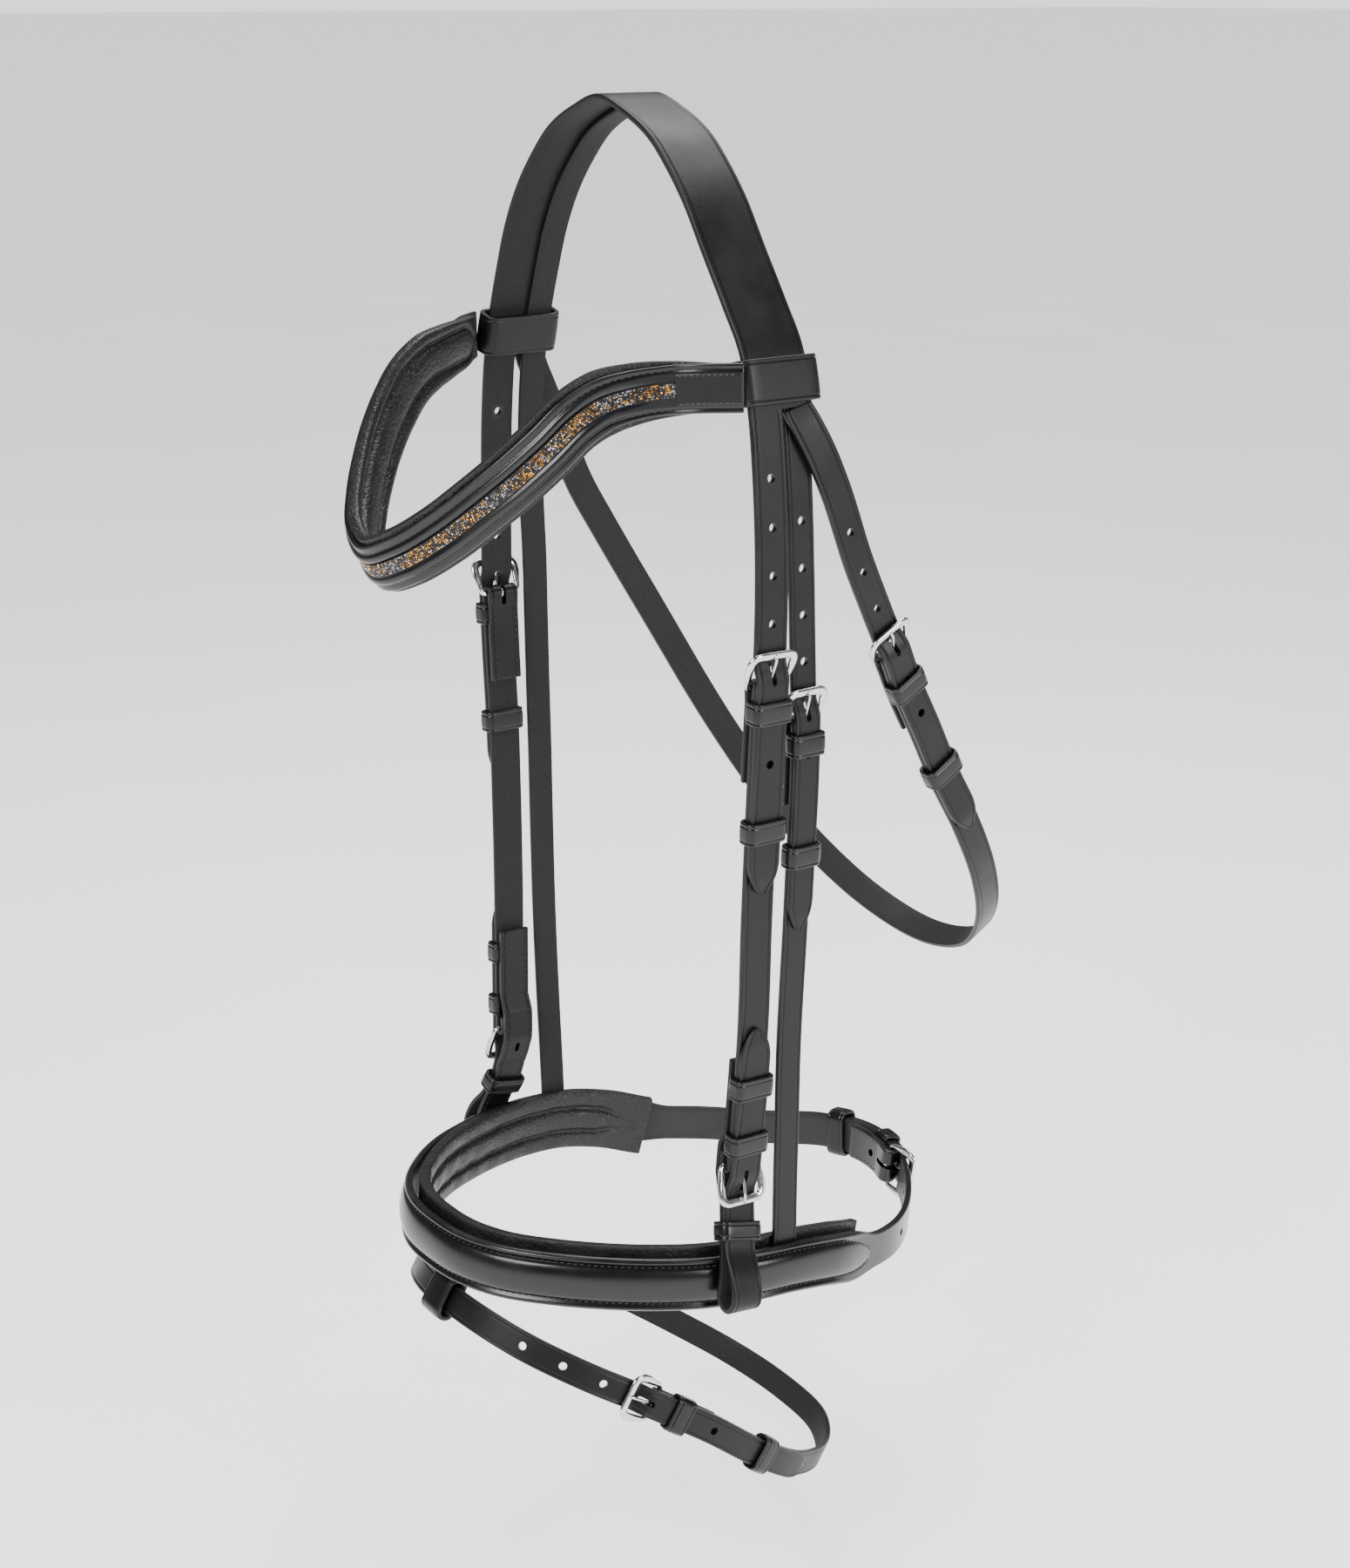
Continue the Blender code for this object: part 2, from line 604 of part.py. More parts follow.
def build_headpiece():
    """The crown strap, split below each browband loop into a cheek billet and the throat branch."""
    buckles = {side: Buckle("buckle", head, head.at_height(CHEEK_BUCKLE_Z, off=side < 0),
                            side, CHEEK_WIDTH, HEAD_THICK, CHEEK_THICK) for side in (-1, 1)}
    slits = [head.at_height(SLIT_Z, off=side < 0) for side in (-1, 1)]
    tips = [head.at_height(CHEEK_TIP_Z, off=side < 0) for side in (-1, 1)]
    stops = (tip_stops(tips[0], 1) + buckles[-1].billet_stops()[::-1]
             + [place + way * SLIT_EDGE for place in slits for way in (-1, 1)]
             + buckles[1].billet_stops() + tip_stops(tips[1], -1)[::-1])
    s = stations(*stops)
    wide = (s > slits[0]) & (s < slits[1])
    half = np.minimum(tip_half_width(s - tips[0], CHEEK_WIDTH),
                      tip_half_width(tips[1] - s, CHEEK_WIDTH))
    low = np.where(wide, CHEEK_WIDTH / 2 - HEAD_WIDTH, -half)
    level = np.maximum(buckles[-1].billet_level(s), buckles[1].billet_level(s))
    made = strap("headpiece", head, list(zip(s, level)), low, half, HEAD_THICK, leather)
    for side in (-1, 1):
        punch(made, head, pitch_holes(buckles[side], 4, 2), LIFT)
        buckles[side].cut_billet(made)


def build_cheek(side, label):
    """One cheekpiece with its top buckle, keepers, bit strap and bit buckle."""
    top = Buckle(label + "_cheek_buckle", cheek, cheek.at_height(CHEEK_BUCKLE_Z), 1, CHEEK_WIDTH,
                 HEAD_THICK, CHEEK_THICK, side)
    bit = Buckle(label + "_bit_buckle", cheek, cheek.at_height(BIT_BUCKLE_Z), -1, CHEEK_WIDTH,
                 CHEEK_THICK, CHEEK_THICK, side, BIT_BUCKLE_LENGTH)
    upper = top.fold_run(cheek.at_height(CHEEK_FOLD_END_Z), bit.s_inner - FOLD_LEG, LAYER_GAP)
    turn = bit.fold_run(bit.s_inner - BIT_RETURN, bit.s_inner - BIT_RETURN, 2 * bit.fold_radius,
                        settle=BIT_RETURN / 2)
    run = upper + turn[::-1][1:]
    half = CHEEK_WIDTH / 2
    made = strap(label + "_cheekpiece", cheek, run, -half, half, CHEEK_THICK, leather, side)
    top.frame()
    top.tongue()
    top.cut_holder(made)
    low, high = top.v_holder, LIFT + HEAD_THICK
    keeper(label + "_cheek_keeper", cheek, cheek.at_height(CHEEK_KEEPER_Z), half, low, high,
           KEEPER_HEIGHT, KEEPER_EASE, side=side)
    runner(label + "_cheek_runner", cheek, cheek.at_height(CHEEK_RUNNER_Z), half, low, high, side)
    build_bit_strap(bit, made, side, label)


def build_bit_strap(bit, cheekpiece, side, label):
    """The strap that holds the bit ring: a lining, an open loop and a billet to its buckle."""
    half = CHEEK_WIDTH / 2
    upper = bit.v_holder - LAYER_GAP
    lower = bit.v_inner - bit.fold_radius - CHEEK_THICK - GAP
    start, tip = cheek.at_height(BIT_LINING_Z), cheek.at_height(BIT_TIP_Z)
    loop = cheek.at_height(BIT_LOOP_Z)
    joined = -2 * GAP
    centre = joined + BIT_LOOP_RADIUS
    swell = cheek.at_height(BIT_KEEPERS_Z[2]) + BIT_LOOP_START
    under_fold = bit.s_inner - BIT_RETURN - CLIMB_START
    past_fold = bit.s_inner + bit.fold_radius + CHEEK_THICK + TUCK
    bends = [under_fold - BIT_RAMP, under_fold, past_fold, past_fold + BIT_JOIN]
    s = stations(start, *bends, loop - BIT_LOOP_RADIUS - FOLD_LEG)
    down = list(zip(s, np.interp(s, bends, [upper, lower, lower, joined])))
    ring = []
    for i in range(9):
        angle = math.pi * (i / 8)
        ring.append((loop - BIT_LOOP_RADIUS + BIT_LOOP_RADIUS * math.sin(angle),
                     centre - BIT_LOOP_RADIUS * math.cos(angle)))
    stops = [swell] + bit.billet_stops() + tip_stops(tip, 1)[::-1]
    s = stations(*stops)
    up = list(zip(s, bit.billet_level(s)))
    run = down + ring + up
    half_widths = np.concatenate([np.full(len(down) + len(ring), half),
                                  tip_half_width(s - tip, CHEEK_WIDTH)])
    made = strap(label + "_bit_strap", cheek, run, -half_widths, half_widths, CHEEK_THICK,
                 leather, side, left=-1)
    bit.build(made, cheekpiece)
    outer = LIFT + CHEEK_THICK
    for name, z in zip(("upper", "middle"), BIT_KEEPERS_Z):
        keeper("%s_bit_keeper_%s" % (label, name), cheek, cheek.at_height(z), half,
               bit.v_holder, outer, KEEPER_HEIGHT, KEEPER_EASE, side=side)
    keeper("%s_bit_keeper_lower" % label, cheek, cheek.at_height(BIT_KEEPERS_Z[2]), half,
           joined - CHEEK_THICK, CHEEK_THICK, LOW_KEEPER_HEIGHT, BEND_EASE, side=side)


def runner(name, route, s, half, low, high, side=1, ease=RUNNER_EASE):
    """A sliding keeper."""
    keeper(name, route, s, half, low, high, KEEPER_HEIGHT, ease, side=side)


def build_sliphead():
    """The strap over the poll that carries the noseband, buckled on the near side."""
    buckle = Buckle("sliphead_buckle", slip, slip.at_height(SLIP_BUCKLE_Z), 1, SLIP_WIDTH,
                    SLIP_THICK, SLIP_THICK)
    under = -(GAP + SLIP_THICK)
    tip = slip.at_height(SLIP_TIP_Z)
    end = slip.at_height(SLIP_END_Z, off=True)
    s = stations(end, *buckle.billet_stops(), *tip_stops(tip, -1)[::-1])
    half = tip_half_width(tip - s, SLIP_WIDTH)
    level = under + buckle.billet_level(s)
    made = strap("sliphead", slip, list(zip(s, level)), -half, half, SLIP_THICK, leather)
    punch(made, slip, pitch_holes(buckle, 4, 1), under + LIFT)
    buckle.shift(under)
    run = buckle.fold_run(slip.at_height(SLIP_FOLD_END_Z), slip.at_height(SLIP_END_Z), LAYER_GAP)
    lower = strap("sliphead_lower", slip, run, -SLIP_WIDTH / 2, SLIP_WIDTH / 2, SLIP_THICK,
                  leather)
    buckle.build(made, lower)
    low, high = buckle.v_holder, under + LIFT + SLIP_THICK
    keeper("sliphead_keeper", slip, slip.at_height(SLIP_KEEPER_Z), SLIP_WIDTH / 2, low, high,
           KEEPER_HEIGHT, KEEPER_EASE)
    runner("sliphead_runner", slip, slip.at_height(SLIP_RUNNER_Z), SLIP_WIDTH / 2,
           low, high)


def build_throatlatch():
    """The near throat billet, and the strap that runs from its buckle round to the off side."""
    buckle = Buckle("throat_buckle", throat, throat.at_height(THROAT_BUCKLE_Z, off=True), 1,
                    THROAT_WIDTH, HEAD_THICK, THROAT_THICK)
    start = throat.at_height(SLIT_Z, off=True) + BRANCH_ROOM
    tip = throat.at_height(THROAT_TIP_Z, off=True)
    s = stations(start, *buckle.billet_stops(), *tip_stops(tip, -1)[::-1])
    half = tip_half_width(tip - s, THROAT_WIDTH)
    billet = strap("throatlatch_billet", throat, list(zip(s, buckle.billet_level(s))),
                   -half, half, HEAD_THICK, leather)
    punch(billet, throat, pitch_holes(buckle, 3, 2), LIFT)
    last = throat.at_height(SLIT_Z) - BRANCH_ROOM
    middle = throat.length / 2

    def level(s):
        """Beneath the billet on the near side, in line with the headpiece on the off side."""
        return np.interp(s, [middle, last - 60 * MM], [buckle.v_holder, 0.0])

    run = buckle.fold_run(throat.at_height(THROAT_FOLD_END_Z, off=True), last, LAYER_GAP, level)
    strap_made = strap("throatlatch", throat, run, -THROAT_WIDTH / 2, THROAT_WIDTH / 2,
                       THROAT_THICK, leather)
    buckle.build(billet, strap_made)
    low, high = buckle.v_holder, LIFT + HEAD_THICK
    keeper("throat_keeper", throat, throat.at_height(THROAT_KEEPER_Z, off=True),
           THROAT_WIDTH / 2, low, high, KEEPER_HEIGHT, KEEPER_EASE)
    runner("throat_runner", throat, throat.at_height(THROAT_RUNNER_Z, off=True),
           THROAT_WIDTH / 2, low, high)


def build_browband():
    """The padded browband with its crystal strip, and the loops that hold it on the headpiece."""
    s = stations(BROW_END, brow.length - BROW_END)
    strap("browband", brow, [(x, 0.0) for x in s], -BROW_WIDTH / 2, BROW_WIDTH / 2, BROW_THICK,
          leather)
    s = stations(BROW_PAD_END, brow.length - BROW_PAD_END)
    inside = np.minimum(s, brow.length - s) - BROW_PAD_END
    half = np.interp(inside, [0.0, BROW_PAD_TAPER], [BROW_PAD_NARROW / 2, BROW_PAD_WIDTH / 2])
    strap("browband_padding", brow, [(x, -GAP - PAD_THICK) for x in s], -half, half, PAD_THICK,
          lining_leather)
    s = stations(CRYSTAL_END, brow.length - CRYSTAL_END)
    strap("browband_crystals", brow, [(x, BROW_THICK + GAP) for x in s], -CRYSTAL_WIDTH / 2,
          CRYSTAL_WIDTH / 2, CRYSTAL_THICK, crystal)
    low, high = -(GAP + SLIP_THICK), HEAD_THICK
    centre = (CHEEK_WIDTH - HEAD_WIDTH) / 2
    for side, label in ((1, "near"), (-1, "off")):
        place = head.at_height(LOOP_Z, off=side < 0)
        keeper("browband_loop_" + label, head, place, HEAD_WIDTH / 2, low, high,
               BROW_LOOP_HEIGHT, LOOP_EASE, LOOP_THICK, centre=centre)


def build_noseband():
    """The noseband: one strap round the nose, from its chin buckle to its billet, and its padding."""
    buckle = Buckle("chin_buckle", nose, CHIN_BUCKLE_S * MM, -1, CHIN_WIDTH, NOSE_THICK,
                    NOSE_THICK)
    tip = CHIN_TIP_S * MM
    around = nose.length
    pad = [CHIN_PAD_S * MM, around - CHIN_PAD_S * MM]
    narrow = [pad[0] - CHIN_TAPER, pad[1] + CHIN_TAPER]
    fold = buckle.fold_run(buckle.s_inner - CHIN_RETURN, buckle.s_inner - CHIN_LAP, LAYER_GAP)
    fold = [(around + s, v) for s, v in fold[::-1]]
    join = fold[0][0] - STEP / 2
    s = stations(*tip_stops(tip, 1), *buckle.billet_stops()[::-1], narrow[0], *pad, narrow[1],
                 join)
    width = np.interp(s, [narrow[0], pad[0] + CHIN_WIDEN, pad[1] - CHIN_WIDEN, narrow[1]],
                      [CHIN_WIDTH, NOSE_WIDTH, NOSE_WIDTH, CHIN_WIDTH])
    half = np.where(s > tip + TIP_LENGTH, width / 2, tip_half_width(s - tip, CHIN_WIDTH))
    level = np.where(s < narrow[0], buckle.billet_level(s), 0.0)
    level += np.interp(s, [pad[1], around - CHIN_RISE], [0.0, buckle.v_holder])
    half = np.concatenate([half, np.full(len(fold), CHIN_WIDTH / 2)])
    made = strap("noseband", nose, list(zip(s, level)) + fold, -half, half, NOSE_THICK, leather)
    punch(made, nose, pitch_holes(buckle, 3, 1), LIFT)
    buckle.build(made, made)
    inner = -(SLIP_THICK + SLIP_ROOM + PAD_THICK)
    strap("noseband_padding", nose, [(x, inner) for x in stations(*pad)], -NOSE_PAD_WIDTH / 2,
          NOSE_PAD_WIDTH / 2, PAD_THICK, lining_leather)
    low, high = buckle.v_holder, LIFT + NOSE_THICK
    keeper("chin_keeper", nose, buckle.s_inner - CHIN_KEEPER, CHIN_WIDTH / 2, low, high,
           KEEPER_HEIGHT, KEEPER_EASE)
    runner("chin_runner", nose, buckle.s_inner - CHIN_RUNNER, CHIN_WIDTH / 2, low, high,
           ease=CHIN_RUNNER_EASE)


def build_flash():
    """The flash strap under the noseband, its buckle and the loop that carries it."""
    buckle = Buckle("flash_buckle", flash, FLASH_BUCKLE_S * MM, -1, FLASH_WIDTH, FLASH_THICK,
                    FLASH_THICK)
    tip = buckle.s_outer - FLASH_TAIL * MM
    fold = buckle.fold_run(buckle.s_inner - FLASH_RETURN * MM, tip - FLASH_LAP, LAYER_GAP)
    fold = [(flash.length + s, v) for s, v in fold[::-1]]
    join = fold[0][0] - STEP / 2
    s = stations(*tip_stops(tip, 1), *buckle.billet_stops()[::-1], join)
    half = tip_half_width(s - tip, FLASH_WIDTH)
    level = buckle.billet_level(s)
    level += np.interp(s, [join - FLASH_RISE, join - FLASH_LEVEL], [0.0, buckle.v_holder])
    half = np.concatenate([half, np.full(len(fold), FLASH_WIDTH / 2)])
    made = strap("flash_strap", flash, list(zip(s, level)) + fold, -half, half, FLASH_THICK,
                 leather)
    punch(made, flash, pitch_holes(buckle, 3, 2), LIFT)
    buckle.build(made, made)
    low, high = buckle.v_holder, LIFT + FLASH_THICK
    keeper("flash_keeper", flash, buckle.s_inner - FLASH_KEEPER * MM, FLASH_WIDTH / 2, low, high,
           KEEPER_HEIGHT, KEEPER_EASE)
    runner("flash_runner", flash, buckle.s_inner - FLASH_RUNNER * MM, FLASH_WIDTH / 2, low, high)
    keeper("flash_loop", flash, flash.along[np.argmin(flash.places[:, 1])], FLASH_WIDTH / 2, 0.0,
           FLASH_THICK, FLASH_LOOP_WIDTH, FLASH_LOOP_EASE, LOOP_THICK)


parts = cutters = leather = lining_leather = steel = crystal = None


def main():
    """Build the bridle."""
    global parts, cutters, leather, lining_leather, steel, crystal
    for item in list(bpy.data.objects):
        bpy.data.objects.remove(item, do_unlink=True)
    parts = new_collection("snaffle_bridle")
    cutters = new_collection("cutters")
    leather = material("black_leather", LEATHER, 0.4)
    lining_leather = material("soft_lining", LINING, 0.8)
    steel = material("polished_steel", STEEL, 0.15, 1.0)
    crystal = material("crystal", CRYSTAL, 0.1)
    build_headpiece()
    for side, label in ((1, "near"), (-1, "off")):
        build_cheek(side, label)
    build_sliphead()
    build_throatlatch()
    build_browband()
    build_noseband()
    build_flash()


main()
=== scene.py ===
"""A black leather snaffle bridle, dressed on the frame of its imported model.

Every strap follows a Route, and a place on a route is (s, u, v): metres along it, across its
width and out from it. The sizes repeat those of the solids, so each piece lies where its solid
does. -Y is the front of the horse's head, +X its near side and +Z up.
"""
from __future__ import annotations

import logging
import math
from dataclasses import dataclass, field
from enum import Enum
from typing import Callable

import bpy
import numpy as np
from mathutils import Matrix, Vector


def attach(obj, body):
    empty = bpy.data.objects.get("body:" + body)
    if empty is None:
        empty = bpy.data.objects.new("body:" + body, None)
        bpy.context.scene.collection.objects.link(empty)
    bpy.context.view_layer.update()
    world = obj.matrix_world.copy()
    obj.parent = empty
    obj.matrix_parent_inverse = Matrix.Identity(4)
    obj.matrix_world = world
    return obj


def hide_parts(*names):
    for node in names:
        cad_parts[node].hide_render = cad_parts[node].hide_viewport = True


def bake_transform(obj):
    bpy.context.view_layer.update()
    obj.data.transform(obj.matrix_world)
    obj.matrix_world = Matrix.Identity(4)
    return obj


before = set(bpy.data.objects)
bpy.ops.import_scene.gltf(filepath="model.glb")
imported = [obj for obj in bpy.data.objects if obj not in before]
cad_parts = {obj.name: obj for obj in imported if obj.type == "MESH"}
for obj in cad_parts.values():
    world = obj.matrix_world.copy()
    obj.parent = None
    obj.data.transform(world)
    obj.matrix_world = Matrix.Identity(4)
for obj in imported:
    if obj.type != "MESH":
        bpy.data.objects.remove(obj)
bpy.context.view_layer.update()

LOG = logging.getLogger("bridle")
MM = 0.001
Array = np.ndarray

# Room left between pieces
GAP = 0.3 * MM
KEEPER_EASE = 0.5 * MM
RUNNER_EASE = 0.8 * MM
BEND_EASE = 1.2 * MM
LOOP_EASE = 2.0 * MM
CHIN_RUNNER_EASE = 1.6 * MM
FLASH_LOOP_EASE = 1.9 * MM
BUCKLE_EASE = 1.0 * MM
HOOK_EASE = 0.25 * MM
SLIP_ROOM = 1.2 * MM

# Thickness of each strap, band and pad
HEAD_THICK = 2.6 * MM
CHEEK_THICK = 2.4 * MM
SLIP_THICK = 2.2 * MM
THROAT_THICK = 2.4 * MM
NOSE_THICK = 3.0 * MM
FLASH_THICK = 2.2 * MM
BROW_THICK = 2.4 * MM
KEEPER_THICK = 1.4 * MM
LOOP_THICK = 2.0 * MM
PAD_THICK = 6.0 * MM

# Widths, and the length of a billet's point
HEAD_WIDTH = 31.5 * MM
CHEEK_WIDTH = 16.0 * MM
THROAT_WIDTH = HEAD_WIDTH - CHEEK_WIDTH - 0.8 * MM
SLIP_WIDTH = 13.0 * MM
CHIN_WIDTH = 18.0 * MM
NOSE_WIDTH = 25.0 * MM
NOSE_PAD_WIDTH = 31.0 * MM
FLASH_WIDTH = 13.0 * MM
BROW_WIDTH = 20.0 * MM
BROW_PAD_WIDTH = 27.0 * MM
KEEPER_HEIGHT = 10.0 * MM
TIP_LENGTH = 15.0 * MM

# Buckles: bars, tongue, holes, the billet's climb, and the slots in billet and fold
BAR_RADIUS = 1.1 * MM
TONGUE_RADIUS = 0.8 * MM
BUCKLE_LENGTH = 13.5 * MM
BIT_BUCKLE_LENGTH = 16.0 * MM
BUCKLE_CORNER = 3.0 * MM
LIFT = 3.0 * MM
TONGUE_TIP = 2.2 * MM
HOLE_RADIUS = 1.9 * MM
HOLE_PITCH = 20.0 * MM
TONGUE_HOLE = 6.3 * MM
CLIMB_START = 2.0 * MM
CLIMB_END = 2.5 * MM
SLOT_START = 1.4 * MM
SLOT_END = 3.4 * MM
HOOK_SLOT = 5.5 * MM
SLOT_HALF = 1.2 * MM

# Folds round a bar, measured from it, and the room between a strap's two layers
SETTLE = 7.0 * MM
TUCK = 1.5 * MM
FOLD_LEG = 3.0 * MM
LAYER_GAP = KEEPER_EASE + KEEPER_THICK + GAP

# Finish of a strap: thinned tips, seams in from the edge, rounded ends
SKIVE = 9.0 * MM
SEAM_INSET = 2.2 * MM
END_ROUND = 0.5 * MM

# Stations along a run, and how many are dropped where two runs are joined
STEP = 1.8 * MM
FINE_STEP = 1.5 * MM
SHARED = 3
SHARED_LENGTH = 3.25 * MM
TIP_STATIONS = (0.0, 0.02, 0.07, 0.2, 0.42, 0.7, 1.0)

# Sides of round shapes
HOLE_SIDES = 24
SHARP_ANGLE = math.radians(50.0)
RING_SIDES = 12
BAR_SIDES = 14
BAR_SQUARE = 0.85
PIN_TAPER = 0.2

# Stones: their draws, their size in vertices, their colours and how bright they are
STONE_SEED = 11
STONE_VERTICES = 18
GOLD = (0.78, 0.33, 0.02)
CLEAR = (0.36, 0.37, 0.42)
BRIGHT = (0.02, 0.18, 0.60, 1.25)
BRIGHT_SHARES = (0.36, 0.26, 0.23, 0.15)

# Places along each strap in millimetres; those of the arch have no y
ARCH = [(0, 2.7), (18.3, -2.4), (38, -12.1), (50.5, -23.3), (60.3, -34.1), (74.5, -55.6),
        (84.9, -74.4), (94.2, -93), (99.8, -114), (103.6, -142)]
CHEEK = [(105.8, -17, -182), (106, -17.5, -214), (103.9, -18, -252), (101.2, -18, -296),
         (99.8, -18.4, -334), (98.9, -19, -383), (96.8, -21, -431), (95.4, -22.2, -455),
         (95.8, -23.4, -468), (98.2, -25, -478), (101.8, -27.5, -487), (104.8, -30, -497),
         (105.6, -32, -508), (105.4, -34, -526)]
SLIP = [(105.5, 0.9, -184), (105.6, 2, -214), (106.1, 2.6, -241), (105.6, 2.7, -279),
        (104.4, 2.4, -307), (103.2, 1.9, -342), (100.9, 1.2, -397), (99.6, 1.7, -440),
        (98.5, 2.2, -470), (98, 2.6, -490), (98, 2.8, -520)]
THROAT = [(97.8, -1, -105), (100.4, -0.8, -115), (102.3, 2.6, -122), (104.1, 9, -134),
          (104.9, 16.5, -150), (104.4, 30, -182), (102.2, 41.5, -203), (99.8, 53.4, -224),
          (96.8, 64, -243), (95, 77, -265), (92.6, 91, -289), (90.5, 109.5, -318),
          (84, 127, -346), (68, 145, -375), (40, 160, -399), (0, 166, -409)]
BROW = [(100, -31, -104.5), (92.5, -41, -104.7), (84, -50, -105.5), (75.8, -64, -107.6),
        (71.2, -76, -111), (68, -86, -117), (63.5, -97, -128), (56, -108, -140),
        (46, -118.5, -152), (33.5, -129, -164.5), (17.5, -138.5, -175.5), (0, -142, -181)]
NOSE = [(0, 134, -522), (30, 128, -524), (54, 112, -527.5), (76, 86, -526.5),
        (88, 56, -522), (95.5, 30, -513.5), (98.3, 8, -508.5), (97.6, -16, -506),
        (93, -38, -504.5), (84, -60, -502.5), (73, -79.5, -500.5), (58, -98, -499),
        (40, -113.5, -498), (20, -122, -497.3), (0, -124, -497)]
FLASH_NEAR = [(0, 79, -645), (34, 74, -645), (60, 56, -642), (78, 26, -629), (86, -6, -606),
              (85.5, -34, -583), (79, -60, -565), (66, -86, -549), (46, -106, -536.5),
              (22, -116.5, -529), (0, -119, -527)]
FLASH_OFF = [(-22, -116.5, -528), (-46, -106, -533), (-66, -86, -542), (-80, -60, -555),
             (-87, -30, -572), (-86, 0, -591), (-77, 28, -609), (-60, 54, -627), (-34, 73, -640)]
HANGER = [(0, -121.0, -498), (0, -121.0, -508), (0, -119.5, -518)]
NOSE_TILT = math.radians(6.0)
NOSE_UP = (0.0, math.sin(NOSE_TILT), math.cos(NOSE_TILT))
FLASH_UP = (0.0, 0.54, 0.84)
FORWARD = (0.0, -1.0, 0.0)
BROW_UP = ([(0.0, 0.0, 1.0)] * 3 + [(-0.05, -0.15, 1.0), (-0.08, -0.3, 0.95), (-0.1, -0.45, 0.88),
           (-0.1, -0.5, 0.86)] + [(-0.1, -0.5, 0.85)] * 4 + [(0.0, -0.5, 0.87)])
THROAT_ACROSS = ([(0.0, -1.0, 0.0)] * 2 + [(0.0, -0.98, -0.2), (0.0, -0.93, -0.36)]
                 + [(0.0, -0.9, -0.43)] * 4 + [(0.0, -0.87, -0.5)] * 8)
LEAN = 6.5
LEAN_FOOT = -93.0
LEAN_RISE = 43.0
CROWN_Y = -17.0
SLIP_Y = 0.0


class Route:
    """A smooth line with a width direction at each point, along which a strap is laid."""

    DENSE = 40

    def __init__(self, points: list, across: object, closed: bool = False) -> None:
        """A cubic through the points, its slope at each taken from the two beside it.

        Args:
            points: places in millimetres.
            across: one width direction, or one for each point.
            closed: whether the line returns to its start.
        """
        rows = np.array(points, float) * MM
        rows = np.hstack([rows, np.broadcast_to(np.array(across, float), rows.shape)])
        if closed:
            rows = np.vstack([rows[-2:], rows, rows[:3]])
        chord = np.linalg.norm(np.diff(rows[:, :3], axis=0), axis=1)
        slope = np.gradient(rows, np.concatenate([[0.0], np.cumsum(chord)]), axis=0)
        t = np.linspace(0.0, 1.0, self.DENSE, endpoint=False)[:, None]
        table = np.vstack([(2 * t**3 - 3 * t**2 + 1) * rows[i] + (3 * t**2 - 2 * t**3) * rows[i + 1]
                           + (t**3 - 2 * t**2 + t) * span * slope[i]
                           + (t**3 - t**2) * span * slope[i + 1]
                           for i, span in enumerate(chord)] + [rows[-1:]])
        if closed:
            table = table[2 * self.DENSE:-2 * self.DENSE]
        self.closed = closed
        self.places, self.across = table[:, :3], table[:, 3:]
        self.along = lengths(self.places)
        self.length = float(self.along[-1])
        self.tangents = np.gradient(self.places, self.along, axis=0)

    def frame(self, s: Array) -> tuple[Array, Array, Array, Array]:
        """Place, direction, outward and width vectors at each s.

        Args:
            s: metres along the route, any shape.

        Returns:
            Four arrays of that shape with three more columns.
        """
        s = np.asarray(s, float)
        if self.closed:
            s = s % self.length
        inside = np.clip(s, 0.0, self.length)
        place, direction, width = (sample(inside, self.along, part)
                                   for part in (self.places, self.tangents, self.across))
        direction = unit(direction)
        width = unit(width - direction * np.sum(width * direction, -1, keepdims=True))
        place = place + direction * (s - inside)[..., None]
        return place, direction, np.cross(width, direction), width

    def place(self, s: Array, u: Array, v: Array, side: int = 1) -> Array:
        """World places of (s, u, v), mirrored to the off side where side is -1.

        Args:
            s: metres along the route.
            u: metres across it.
            v: metres out from it.
            side: -1 on the off side.

        Returns:
            The places.
        """
        s, u, v = np.broadcast_arrays(s, u, v)
        place, _, out, width = self.frame(s)
        return to_side(place + width * u[..., None] + out * v[..., None], side)

    def at_height(self, z: float, off: bool = False) -> float:
        """Where the route passes height z in millimetres, on its last stretch or its first.

        Args:
            z: the height.
            off: whether the first crossing is meant and not the last.

        Returns:
            Metres along the route.
        """
        below = self.places[:, 2] < z * MM
        crossing = np.nonzero(below[:-1] != below[1:])[0]
        i = crossing[0] if off else crossing[-1]
        z0, z1 = self.places[i:i + 2, 2]
        s0, s1 = self.along[i:i + 2]
        return float(s0 + (z * MM - z0) / (z1 - z0) * (s1 - s0))


def unit(v: Array) -> Array:
    """The vectors made one long."""
    return v / np.maximum(np.linalg.norm(v, axis=-1, keepdims=True), 1e-12)


def lengths(points: Array) -> Array:
    """How far along a line each of its points lies."""
    return np.concatenate([[0.0], np.cumsum(np.linalg.norm(np.diff(points, axis=0), axis=1))])


def sample(at: Array, far: Array, rows: Array) -> Array:
    """The rows, which are known at the distances far, read off at the distances at."""
    return np.stack([np.interp(at, far, column) for column in rows.T], -1)


def to_side(places: Array, side: int) -> Array:
    """Places or directions, mirrored to the off side where side is -1."""
    return places * np.array([side, 1.0, 1.0])


def smooth(x: Array) -> Array:
    """A ramp from 0 to 1 over x from 0 to 1, with level ends."""
    x = np.clip(x, 0.0, 1.0)
    return x * x * (3.0 - 2.0 * x)


def arch_points(y: float, lean: float = LEAN) -> list:
    """The crown's points down to the near side, leaning by lean above the browband loops."""
    return [(x - lean * min(max((z - LEAN_FOOT) / LEAN_RISE, 0.0), 1.0), y, z) for x, z in ARCH]


def over_poll(y: float, lower: list) -> list:
    """Points of a strap from its off end over the poll to its near end."""
    off = [(-x, py, z) for x, py, z in arch_points(y, -LEAN)[1:] + lower]
    return off[::-1] + arch_points(y) + lower


